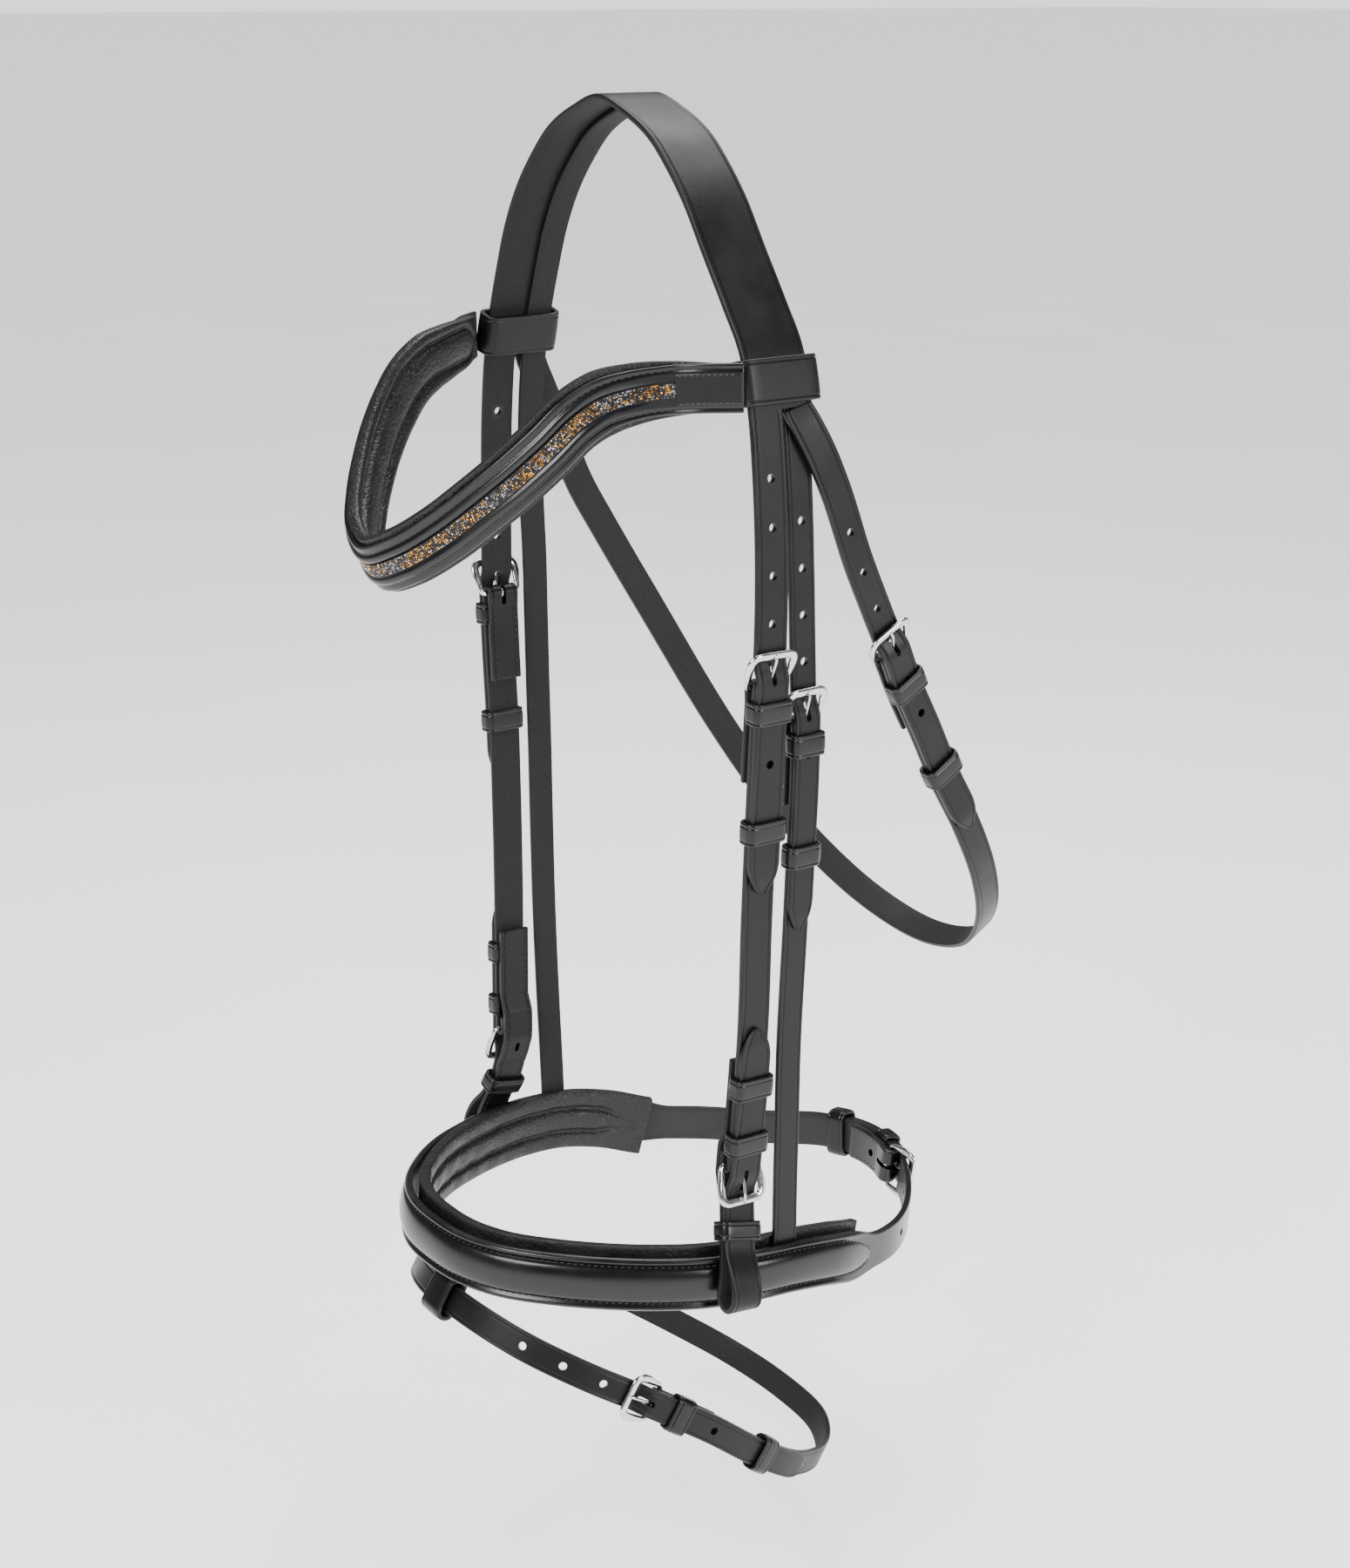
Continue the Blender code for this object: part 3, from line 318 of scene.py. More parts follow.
def mirrored(points: list) -> list:
    """The points reflected to the off side, in reverse order."""
    return [(-x, y, z) for x, y, z in points[::-1]]


HEAD = Route(over_poll(CROWN_Y, CHEEK), FORWARD)
CHEEKS = Route(arch_points(CROWN_Y, 0.0)[-4:] + CHEEK, FORWARD)
SLIPHEAD = Route(over_poll(SLIP_Y, SLIP), FORWARD)
THROATLATCH = Route(THROAT + mirrored(THROAT[:-1]), THROAT_ACROSS + THROAT_ACROSS[-2::-1])
BROWBAND = Route(BROW + mirrored(BROW[:-1]), BROW_UP + mirrored(BROW_UP[:-1]))
NOSEBAND = Route(NOSE + mirrored(NOSE[1:-1]), NOSE_UP, True)
FLASH = Route(FLASH_NEAR + FLASH_OFF, FLASH_UP, True)


# ---------------------------------------------------------------- finishes

class Slot(Enum):
    """Names of the material slots."""

    LEATHER = "black_leather"
    LINING = "soft_lining"
    STEEL = "polished_steel"
    CRYSTAL = "crystal"


def shade(colour: tuple, share: float) -> tuple:
    """The colour made darker, to that share of itself."""
    return tuple(c * share for c in colour)


class Graph:
    """A material's node tree, with short ways to add to it."""

    def __init__(self, name: str) -> None:
        """Start a material with its Principled shader.

        Args:
            name: the material's name.
        """
        self.material = bpy.data.materials.new(name)
        self.material.use_nodes = True
        self.nodes = self.material.node_tree.nodes
        self.links = self.material.node_tree.links
        self.shader = self.nodes["Principled BSDF"]
        self.coordinates = self.nodes.new("ShaderNodeTexCoord").outputs["Object"]

    def feed(self, target: bpy.types.NodeSocket, value: object) -> None:
        """Link a socket to another, or set it to a value.

        Args:
            target: the socket that is fed.
            value: an output socket, or a plain value.
        """
        if isinstance(value, bpy.types.NodeSocket):
            self.links.new(value, target)
        else:
            target.default_value = value

    def set(self, **values: object) -> None:
        """Feed the shader's sockets; a name's underscores stand for spaces."""
        for name, value in values.items():
            self.feed(self.shader.inputs[name.replace("_", " ")], value)

    def node(self, kind: str, operation: str | None = None, **inputs: object) -> bpy.types.Node:
        """Add a node and feed its inputs; a name's underscores stand for spaces.

        Args:
            kind: its type, without ShaderNode.
            operation: what it does, where it has a choice.
            inputs: sockets and values.

        Returns:
            The node.
        """
        made = self.nodes.new("ShaderNode" + kind)
        if operation:
            made.operation = operation
        for name, value in inputs.items():
            self.feed(made.inputs[name.replace("_", " ")], value)
        return made

    def attribute(self, name: str, colour: bool = False) -> bpy.types.NodeSocket:
        """A piece's own attribute.

        Args:
            name: which one.
            colour: whether it is a colour.

        Returns:
            Its socket.
        """
        made = self.nodes.new("ShaderNodeAttribute")
        made.attribute_name = name
        return made.outputs["Color" if colour else "Fac"]

    def noise(self, scale: float, detail: float = 3.0) -> bpy.types.NodeSocket:
        """Cloudy noise, scale in lumps per metre."""
        made = self.node("TexNoise", Vector=self.coordinates, Scale=scale, Detail=detail)
        return made.outputs["Fac"]

    def ramp(self, value: bpy.types.NodeSocket, low: float, high: float, out_low: float = 0.0,
             out_high: float = 1.0) -> bpy.types.NodeSocket:
        """The value carried from the range low to high to the other one, clamped."""
        return self.node("MapRange", Value=value, From_Min=low, From_Max=high, To_Min=out_low,
                         To_Max=out_high).outputs["Result"]

    def mix(self, share: bpy.types.NodeSocket, a: object, b: object) -> bpy.types.NodeSocket:
        """Colour a where share is 0 and b where it is 1.

        Args:
            share: the socket that mixes them.
            a: a colour or an output socket.
            b: another.

        Returns:
            The mixed colour's socket.
        """
        made = self.nodes.new("ShaderNodeMix")
        made.data_type = "RGBA"
        self.links.new(share, made.inputs["Factor"])
        for socket, value in zip(("A", "B"), (a, b)):
            target = next(i for i in made.inputs if i.name == socket and i.type == "RGBA")
            self.feed(target, (*value, 1.0) if isinstance(value, tuple) else value)
        return next(o for o in made.outputs if o.type == "RGBA")

    def mottled(self, cloud: bpy.types.NodeSocket, low: float, high: float, colour: tuple,
                dark: float) -> bpy.types.NodeSocket:
        """The colour, darkened to the share dark where cloud is low."""
        return self.mix(self.ramp(cloud, low, high), shade(colour, dark), colour)

    def math(self, operation: str, a: object, b: object,
             kind: str = "Math") -> bpy.types.NodeSocket:
        """One sum of two values, or of two vectors.

        Args:
            operation: which sum.
            a: a value or an output socket.
            b: another.
            kind: Math, or VectorMath for vectors.

        Returns:
            The result's socket.
        """
        made = self.node(kind, operation)
        for target, value in zip(made.inputs, (a, b)):
            self.feed(target, value)
        return made.outputs[0]

    def bump(self, height: bpy.types.NodeSocket, depth: float, strength: float = 1.0,
             under: bpy.types.NodeSocket | None = None) -> bpy.types.NodeSocket:
        """Relief of that depth in metres, over another where there is one."""
        more = {} if under is None else {"Normal": under}
        return self.node("Bump", Height=height, Distance=depth, Strength=strength,
                         **more).outputs["Normal"]


@dataclass(frozen=True)
class Leather:
    """Dyed leather: a smooth, finely pored grain side, waxed edges painted lighter as a highlight,
    and a matt flesh side.

    The piece's edge, flesh and groove attributes say where each shows; edge carries a painted
    highlight and groove painted shade.
    """

    name: str
    grain: tuple = (0.0046, 0.0044, 0.0054)
    # Colour of the top rounded edges: lighter than the grain, a painted highlight.
    edge: tuple = (0.013, 0.013, 0.015)
    flesh: tuple = (0.013, 0.0125, 0.0135)
    roughness: float = 0.40
    coat: float = 0.04
    shine: float = 0.22
    pore_depth: float = 0.05 * MM
    pore_scale: float = 1300.0
    fibre_depth: float = 0.09 * MM
    nap_roughness: float = 0.85

    def build(self) -> bpy.types.Material:
        """The finish as a material.

        Returns:
            The material.
        """
        g = Graph(self.name)
        g.set(Coat_Weight=self.coat, Coat_Roughness=0.22, Specular_IOR_Level=self.shine)
        cloud = g.noise(55.0, 4.0)
        fine = g.noise(900.0, 2.0)
        pores = g.node("TexVoronoi", Vector=g.coordinates, Scale=self.pore_scale)
        edge, flesh, groove = (g.attribute(n) for n in ("edge", "flesh", "groove"))
        grain = g.mottled(cloud, 0.35, 0.65, self.grain, 0.72)
        # Painted highlight: the top rounded edges made lighter, in patches.
        grain = g.mix(g.ramp(g.math("MULTIPLY", edge, cloud), 0.25, 0.6), grain, self.edge)
        # Painted shade: the pressed crease lines darkened to 0.45 of the grain.
        grain = g.mix(groove, grain, shade(self.grain, 0.45))
        nap = g.mottled(fine, 0.3, 0.7, self.flesh, 0.7)
        rough = g.ramp(cloud, 0.3, 0.7, self.roughness - 0.05, self.roughness + 0.07)
        rough = g.math("MAXIMUM", rough, g.ramp(flesh, 0.0, 1.0, 0.0, self.nap_roughness))
        relief = g.bump(pores.outputs["Distance"], self.pore_depth, 0.35)
        g.set(Base_Color=g.mix(flesh, grain, nap), Roughness=rough,
              Normal=g.bump(fine, self.fibre_depth, 0.35, relief))
        return g.material


@dataclass(frozen=True)
class SoftLeather:
    """Thin leather drawn over padding, with fine creases that run across it."""

    name: str
    colour: tuple = (0.0058, 0.0056, 0.0066)
    roughness: float = 0.44
    crease_depth: float = 0.35 * MM
    crease_scale: float = 330.0
    crease_bend: float = 0.006
    lump_depth: float = 0.5 * MM
    pore_depth: float = 0.06 * MM

    def build(self) -> bpy.types.Material:
        """The finish as a material.

        Returns:
            The material.
        """
        g = Graph(self.name)
        g.set(Coat_Weight=0.05, Coat_Roughness=0.35, Specular_IOR_Level=0.35)
        cloud = g.noise(70.0, 4.0)
        bend = g.node("TexNoise", Vector=g.coordinates, Scale=160.0, Detail=2.0)
        push = g.node("VectorMath", "SCALE", Vector=bend.outputs["Color"], Scale=self.crease_bend)
        warped = g.math("ADD", g.coordinates, push.outputs[0], "VectorMath")
        creases = g.node("TexVoronoi", Vector=warped, Scale=self.crease_scale)
        creases.feature = "DISTANCE_TO_EDGE"
        relief = g.bump(g.ramp(creases.outputs["Distance"], 0.0, 0.22), self.crease_depth, 0.45)
        relief = g.bump(g.noise(260.0, 3.0), self.lump_depth, 0.35, relief)
        g.set(Base_Color=g.mottled(cloud, 0.35, 0.65, self.colour, 0.7),
              Roughness=g.ramp(cloud, 0.3, 0.7, self.roughness - 0.08, self.roughness + 0.1),
              Normal=g.bump(g.noise(1400.0, 2.0), self.pore_depth, 0.4, relief))
        return g.material


@dataclass(frozen=True)
class Steel:
    """Polished and plated steel with a trace of wipe marks."""

    name: str
    colour: tuple = (0.66, 0.67, 0.69)
    roughness: tuple = (0.07, 0.16)
    wipe_depth: float = 0.02 * MM

    def build(self) -> bpy.types.Material:
        """The finish as a material.

        Returns:
            The material.
        """
        g = Graph(self.name)
        cloud = g.noise(350.0, 3.0)
        g.set(Metallic=1.0, Base_Color=g.mottled(cloud, 0.3, 0.7, self.colour, 0.86),
              Roughness=g.ramp(cloud, 0.3, 0.75, *self.roughness),
              Normal=g.bump(g.noise(500.0, 2.0), self.wipe_depth, 0.3))
        return g.material


@dataclass(frozen=True)
class Thread:
    """Waxed linen thread."""

    name: str
    colour: tuple = (0.022, 0.022, 0.026)
    roughness: float = 0.55
    twist_depth: float = 0.06 * MM

    def build(self) -> bpy.types.Material:
        """The finish as a material.

        Returns:
            The material.
        """
        g = Graph(self.name)
        twist = g.noise(2500.0, 1.0)
        g.set(Base_Color=g.mottled(twist, 0.35, 0.65, self.colour, 0.45), Roughness=self.roughness,
              Normal=g.bump(twist, self.twist_depth, 0.5))
        return g.material


@dataclass(frozen=True)
class Stones:
    """Foiled cut stones; each one's tint attribute holds its own colour."""

    name: str
    foil: tuple = (0.02, 0.018, 0.016)

    def build(self) -> bpy.types.Material:
        """The finish as a material.

        Returns:
            The material.
        """
        g = Graph(self.name)
        spark = g.ramp(g.noise(1800.0, 1.0), 0.35, 0.65, 0.0, 0.35)
        g.set(Metallic=0.55, Roughness=0.08, Coat_Weight=1.0, Coat_Roughness=0.03,
              Base_Color=g.mix(spark, g.attribute("tint", True), self.foil))
        return g.material


@dataclass
class Palette:
    """The finishes, each built once."""

    strap: bpy.types.Material = field(init=False)
    glossy: bpy.types.Material = field(init=False)
    band: bpy.types.Material = field(init=False)
    lining: bpy.types.Material = field(init=False)
    steel: bpy.types.Material = field(init=False)
    thread: bpy.types.Material = field(init=False)
    stones: bpy.types.Material = field(init=False)

    def __post_init__(self) -> None:
        """Build them."""
        self.strap = Leather("strap_leather").build()
        self.glossy = Leather("glossed_leather", roughness=0.24, coat=0.25, shine=0.3,
                              grain=(0.0022, 0.0022, 0.0032)).build()
        # Keeper leather; its edge colour is a painted highlight on the top rounded edges.
        self.band = Leather("keeper_leather", roughness=0.30, coat=0.10, shine=0.3,
                            grain=(0.0022, 0.0022, 0.0030), edge=(0.006, 0.006, 0.0075),
                            pore_depth=0.02 * MM).build()
        self.lining = SoftLeather("padding_leather").build()
        self.steel = Steel("buckle_steel").build()
        self.thread = Thread("black_thread").build()
        self.stones = Stones("cut_stones").build()


# ---------------------------------------------------------------- surfaces

def linked(name: str, data: bpy.types.ID) -> bpy.types.Object:
    """An object with that data, put in the scene.

    Args:
        name: its name.
        data: its mesh, light or camera.

    Returns:
        The object.
    """
    made = bpy.data.objects.new(name, data)
    bpy.context.scene.collection.objects.link(made)
    return made


def mesh_object(name: str, vertices: Array, faces: Array, finish: bpy.types.Material,
                extra: list | None = None, flat: bool = False,
                attributes: dict | None = None) -> bpy.types.Object:
    """A mesh object at the origin.

    Args:
        name: its name.
        vertices: an array of places.
        faces: quads, or triangles, as an array of vertex numbers.
        finish: its material.
        extra: more faces, of any size.
        flat: whether its faces are shaded flat.
        attributes: a value, or a colour, for each vertex.

    Returns:
        The object.
    """
    mesh = bpy.data.meshes.new(name)
    mesh.from_pydata(vertices.reshape(-1, 3).tolist(), [], faces.tolist() + (extra or []))
    for key, values in (attributes or {}).items():
        colour = np.ndim(values) == 2
        layer = mesh.attributes.new(key, "FLOAT_COLOR" if colour else "FLOAT", "POINT")
        layer.data.foreach_set("color" if colour else "value", np.ravel(values).astype(np.float32))
    mesh.materials.append(finish)
    if not flat:
        mesh.shade_smooth()
    return linked(name, mesh)


def grid_faces(rows: int, columns: int, wrap_rows: bool = False, flip: bool = False) -> Array:
    """Quads of a grid that is closed round its columns.

    Args:
        rows: how many rows it has.
        columns: how many columns.
        wrap_rows: whether its last row joins its first.
        flip: whether the quads face the other way.

    Returns:
        Four vertex numbers for each quad.
    """
    i = np.arange(rows if wrap_rows else rows - 1)[:, None]
    j = np.arange(columns)[None, :]
    i2, j2 = (i + 1) % rows, (j + 1) % columns
    corners = [i * columns + j, i2 * columns + j, i2 * columns + j2, i * columns + j2]
    faces = np.stack([np.broadcast_to(c, (len(i), j.size)) for c in corners], -1).reshape(-1, 4)
    return faces[:, ::-1] if flip else faces


def tube(name: str, grid: Array, finish: bpy.types.Material, flip: bool,
         attributes: dict | None = None) -> bpy.types.Object:
    """A grid closed round its columns and capped at both ends.

    Args:
        name: its name.
        grid: places, by row and column.
        finish: its material.
        flip: whether its faces are turned over.
        attributes: a value for each vertex.

    Returns:
        The object.
    """
    rows, columns = grid.shape[:2]
    ring = list(range(columns))
    caps = [ring, [rows * columns - columns + i for i in ring[::-1]]]
    return mesh_object(name, grid, grid_faces(rows, columns, flip=flip), finish,
                       [c[::-1] for c in caps] if flip else caps, attributes=attributes)


def copies(faces: Array, count: int, size: int) -> Array:
    """The faces of count copies of a shape that has size vertices."""
    return (faces[None] + (size * np.arange(count))[:, None, None]).reshape(-1, faces.shape[1])


@dataclass(frozen=True)
class Section:
    """A strap's cross-section: rounded edges and, if crease is set, a pressed line along each."""

    crease: float = 2.1 * MM
    depth: float = 0.30 * MM
    corner: float = 0.75 * MM
    columns: int = 7

    def points(self, half: Array, thick: Array) -> tuple[Array, Array, dict]:
        """The closed outline at each station.

        Across and up from the middle of the flesh side, anticlockwise from its left corner. A
        corner is a quarter circle, and the top runs between the corners with a notch at each
        crease.

        Args:
            half: half the strap's width at each station.
            thick: its thickness there.

        Returns:
            Across and up as (stations, points), and the points' edge, flesh and groove shares: edge
            where a painted highlight lightens the top rounded corner, groove where painted shade
            darkens the crease.
        """
        half, thick = half[:, None], thick[:, None]
        under = np.minimum(0.4 * MM, 0.4 * np.minimum(thick, half))
        over = np.minimum(self.corner, 0.5 * np.minimum(thick, half))
        low = np.radians([-90.0, -45.0, 0.0])
        high = np.radians([0.0, 30.0, 60.0, 90.0])
        right_a = np.hstack([half - under + under * np.cos(low), half - over + over * np.cos(high)])
        right_b = np.hstack([under + under * np.sin(low), thick - over + over * np.sin(high)])
        if self.crease:
            line = np.minimum(self.crease, 0.5 * half)
            notch = np.array([-0.45, -0.15, 0.15, 0.45]) * MM
            shoulder = np.hstack([half - line - n for n in notch])
            drop = np.hstack([np.full_like(half, d) for d in (0.0, self.depth, self.depth, 0.0)])
            inner = half - line - 0.8 * MM
        else:
            shoulder = drop = np.zeros((len(half), 0))
            inner = half - over - 0.2 * MM
        middle = np.maximum(inner, 0.2 * MM) * np.linspace(1.0, -1.0, self.columns)
        a = np.hstack([right_a, shoulder, middle, -shoulder[:, ::-1], -right_a[:, ::-1]])
        flat = np.broadcast_to(thick, middle.shape)
        b = np.hstack([right_b, thick - drop, flat, thick - drop[:, ::-1], right_b[:, ::-1]])
        bottom = (half - under - 0.3 * MM) * np.array([-0.5, 0.0, 0.5])
        a, b = np.hstack([a, bottom]), np.hstack([b, np.zeros_like(bottom)])
        # Groove shares mark the pressed crease, which the leather paints darker as painted shade.
        none, pressed = [0.0] * self.columns, [0.0, 1.0, 1.0, 0.0] if self.crease else []
        # Edge shares: the top rounded corner, which the leather paints lighter as a painted
        # highlight. Flesh shares: the underside's corner.
        edge_highlight, rough = [0.0, 0.0, 0.0, 0.6, 1.0, 1.0, 0.5], [1.0, 1.0, 0.0, 0.0, 0.0, 0.0, 0.0]
        still = [0.0] * len(pressed)
        marks = {"edge": edge_highlight + still + none + still + edge_highlight[::-1] + [0.0] * 3,
                 "flesh": rough + still + none + still + rough[::-1] + [1.0] * 3,
                 "groove": [0.0] * 7 + pressed + none + pressed + [0.0] * 10}
        return a, b, {k: np.tile(np.array(v), (len(half), 1)) for k, v in marks.items()}


PLAIN = Section()
SMALL = Section(crease=1.8 * MM)
KEEPER_SECTION = Section(crease=1.7 * MM, depth=0.25 * MM, corner=0.6 * MM)


def refined(run: Array, step: float = STEP) -> Array:
    """More stations on a run's long spans, and close ones at its rounded ends.

    Args:
        run: its (s, v) places.
        step: the longest span that is left.

    Returns:
        The run with its new places.
    """
    run = np.asarray(run, float)
    length = lengths(run)
    total = length[-1]
    close = END_ROUND * np.array([0.12, 0.45, 1.0])
    wanted = [length, close, total - close]
    for a, b in zip(length[:-1], length[1:]):
        wanted.append(np.linspace(a, b, max(int(math.ceil((b - a) / step)), 1) + 1)[1:-1])
    at = np.unique(np.concatenate(wanted).round(7))
    at = at[(at >= 0.0) & (at <= total)]
    at = at[np.concatenate([[True], np.diff(at) > 0.02 * MM])]
    return sample(at, length, run)


Relief = Callable[[Array, Array], Array]


@dataclass
class Strap:
    """A length of leather laid along a route, through the (s, v) places of its run.

    The outline of its section is carried along the run, its thickness standing square to the
    run on the left of it, or on the right where left is -1.
    """

    name: str
    route: Route
    run: Array
    half: Array
    thickness: float
    section: Section = PLAIN
    side: int = 1
    left: int = 1
    centre: Array | float = 0.0
    relief: Relief | None = None
    skive: tuple = (0.0, 0.0)

    def surface(self) -> tuple[Array, dict]:
        """Its grid of places, one row for each station, and its marks.

        Each end is drawn in by a quarter circle, and thinned over its skive.

        Returns:
            The places, and the edge, flesh and groove shares at each.
        """
        s, v = self.run.T
        length = lengths(self.run)
        heading = unit(np.gradient(self.run, length, axis=0))
        to_ends = (length, length[-1] - length)
        share = np.clip(1.0 - np.minimum(*to_ends) / END_ROUND, 0.0, 0.9)
        inset = END_ROUND * (1.0 - np.sqrt(1.0 - share**2))
        thick = np.full(len(s), self.thickness)
        for distance, reach in zip(to_ends, self.skive):
            if reach:
                thick *= 1.0 - 0.35 * (1.0 - smooth(distance / reach))
        half = np.maximum(np.broadcast_to(self.half, s.shape) - inset, 0.25 * MM)
        a, b, marks = self.section.points(half, thick)
        if self.relief is not None:
            top = smooth((b - 0.8 * thick[:, None]) / (0.2 * thick[:, None]))
            b = b + top * self.relief(s[:, None], a)
        b = inset[:, None] + b * (1.0 - 2.0 * inset / thick)[:, None]
        a = a + np.broadcast_to(self.centre, s.shape)[:, None]
        normal = np.stack([-heading[:, 1], heading[:, 0]], -1) * self.left
        return self.route.place(s[:, None] + normal[:, :1] * b, a, v[:, None] + normal[:, 1:] * b,
                                self.side), marks

    def build(self, finish: bpy.types.Material) -> bpy.types.Object:
        """The strap as an object, its ends closed.

        Args:
            finish: its leather.

        Returns:
            The object.
        """
        grid, marks = self.surface()
        return tube(self.name, grid, finish, self.left * self.side < 0,
                    {k: m.ravel() for k, m in marks.items()})


def tip_half(distance: Array, width: float) -> Array:
    """Half width of a pointed end: full from TIP_LENGTH on, drawn in to a round point."""
    share = np.clip(1.0 - distance / TIP_LENGTH, 0.0, 1.0)
    return np.maximum(width / 2 * (1.0 - share**1.9) ** 0.62, 0.7 * MM)


def drill(made: bpy.types.Object, cutters: list[tuple[Array, Array]]) -> None:
    """Take prisms out of a piece.

    Args:
        made: the piece.
        cutters: for each prism its lower and upper outlines, as matching rings of places.
    """
    vertices, faces, start = [], [], 0
    for low, high in cutters:
        n = len(low)
        i = np.arange(n)
        sides = np.stack([i, (i + 1) % n, (i + 1) % n + n, i + n], -1) + start
        faces += sides.tolist()
        faces += [(i[::-1] + start).tolist(), (i + n + start).tolist()]
        vertices.append(np.vstack([low, high]))
        start += 2 * n
    mesh = bpy.data.meshes.new("cutter")
    mesh.from_pydata(np.vstack(vertices).tolist(), [], faces)
    tool = linked("cutter", mesh)
    cut = made.modifiers.new("holes", "BOOLEAN")
    cut.operation = "DIFFERENCE"
    cut.solver = "EXACT"
    cut.object = tool
    evaluated = made.evaluated_get(bpy.context.evaluated_depsgraph_get())
    cut_mesh = bpy.data.meshes.new_from_object(evaluated)
    made.modifiers.clear()
    made.data = cut_mesh
    cut_mesh.shade_smooth()
    cut_mesh.set_sharp_from_angle(angle=SHARP_ANGLE)
    bpy.data.objects.remove(tool)


def oval(route: Route, s0: float, s1: float, v: float, radius: float, side: int = 1,
         depth: float = 7.0 * MM) -> tuple[Array, Array]:
    """A hole's cutter: a prism through the strap, round or drawn out from s0 to s1.

    Args:
        route: the strap's route.
        s0: the middle of the hole's first end.
        s1: the middle of its other end.
        v: its level.
        radius: half its width.
        side: -1 on the off side.
        depth: how far it reaches to either side of v.

    Returns:
        Its lower and upper outlines.
    """
    angle = np.linspace(0.0, 2 * math.pi, HOLE_SIDES, endpoint=False)
    stretch = abs(s1 - s0) / 2
    place, direction, out, width = route.frame((s0 + s1) / 2)
    x = radius * np.cos(angle) + np.where(np.cos(angle) >= 0.0, stretch, -stretch)
    middle = place + direction * x[:, None] + width * (radius * np.sin(angle))[:, None]
    low, high = (to_side(middle + out * level, side) for level in (v - depth, v + depth))
    return (low, high) if side < 0 else (low[::-1], high[::-1])


def stitches(name: str, line: Array, normal: Array, finish: bpy.types.Material,
             pitch: float = 3.0 * MM, length: float = 2.2 * MM, width: float = 0.55 * MM,
             slant: float = 12.0) -> bpy.types.Object:
    """A row of stitches along a line.

    Each stitch is a grain of thread: a circle carried along its length, its radius the sine of
    the way along, bowed so that both ends dip into the leather.

    Args:
        name: the row's name.
        line: places along it.
        normal: the leather's outward direction at each place.
        finish: the thread.
        pitch: from stitch to stitch.
        length: of a stitch.
        width: of a stitch.
        slant: degrees that each one is turned from the line.

    Returns:
        The object.
    """
    far = lengths(line)
    at = np.arange(pitch / 2, far[-1], pitch)
    centre, out = sample(at, far, line), unit(sample(at, far, normal))
    ahead, behind = (sample(at + step * pitch, far, line) for step in (0.2, -0.2))
    along = unit(ahead - behind)
    across = np.cross(out, along)
    turn = math.radians(slant)
    along, across = (along * math.cos(turn) + across * math.sin(turn),
                     across * math.cos(turn) - along * math.sin(turn))
    t = np.linspace(0.0, 1.0, 5)
    ring = np.linspace(0.0, 2 * math.pi, 6, endpoint=False)
    radius = width / 2 * np.maximum(np.sin(math.pi * t), 0.25)[:, None]
    x = np.broadcast_to((t - 0.5)[:, None] * length, (5, 6)).ravel()
    y = (radius * np.cos(ring)).ravel()
    z = (radius * np.sin(ring) + 0.22 * MM * np.sin(math.pi * t)[:, None] - 0.08 * MM).ravel()
    one = np.stack([x, y, z], -1)
    basis = np.stack([along, across, out], 1)
    vertices = centre[:, None] + one @ basis
    caps = np.array([[0, 1, 2, 3], [0, 3, 4, 5], [27, 26, 25, 24], [29, 28, 27, 24]])
    quads = np.vstack([grid_faces(5, 6), caps])[:, ::-1]
    return mesh_object(name, vertices, copies(quads, len(at), len(one)), finish)


def seam(name: str, finish: bpy.types.Material, route: Route, s: Array, u: Array, v: Array,
         side: int = 1, out: int = 1, **sizes: float) -> bpy.types.Object:
    """Stitches along (s, u, v).

    Args:
        name: the row's name.
        finish: the thread.
        route: the strap's route.
        s: places along it.
        u: places across it.
        v: their levels.
        side: -1 on the off side.
        out: -1 where the stitches stand on the strap's inner face.
        sizes: of the stitches.

    Returns:
        The object.
    """
    s, u, v = np.broadcast_arrays(s, u, v)
    normal = to_side(route.frame(s)[2], side) * out
    return stitches(name, route.place(s, u, v, side), normal, finish, **sizes)


def rounded(half_a: float, half_b: float, corner: float, turn: int = 8,
            span: int = 8) -> tuple[Array, Array]:
    """A rectangle with round corners, anticlockwise, with the outward direction at each point.

    Args:
        half_a: half its extent on the first axis.
        half_b: half its extent on the second.
        corner: the corners' radius.
        turn: points round a corner.
        span: points along a side.

    Returns:
        Places and directions, as arrays of pairs.
    """
    places, ways = [], []
    for quarter in range(4):
        angle = math.pi / 2 * (quarter + np.linspace(0.0, 1.0, turn))
        way = np.stack([np.cos(angle), np.sin(angle)], -1)
        middle = np.array([(half_a - corner) * (1 if quarter in (0, 3) else -1),
                           (half_b - corner) * (1 if quarter in (0, 1) else -1)])
        places.append(middle + corner * way)
        ways.append(way)
    filled, outward = [], []
    for q in range(4):
        following = places[(q + 1) % 4][0]
        t = np.linspace(0.0, 1.0, span + 2)[1:-1, None]
        filled += [places[q], places[q][-1] * (1 - t) + following * t]
        outward += [ways[q], np.repeat(ways[q][-1:], span, 0)]
    return np.vstack(filled), np.vstack(outward)


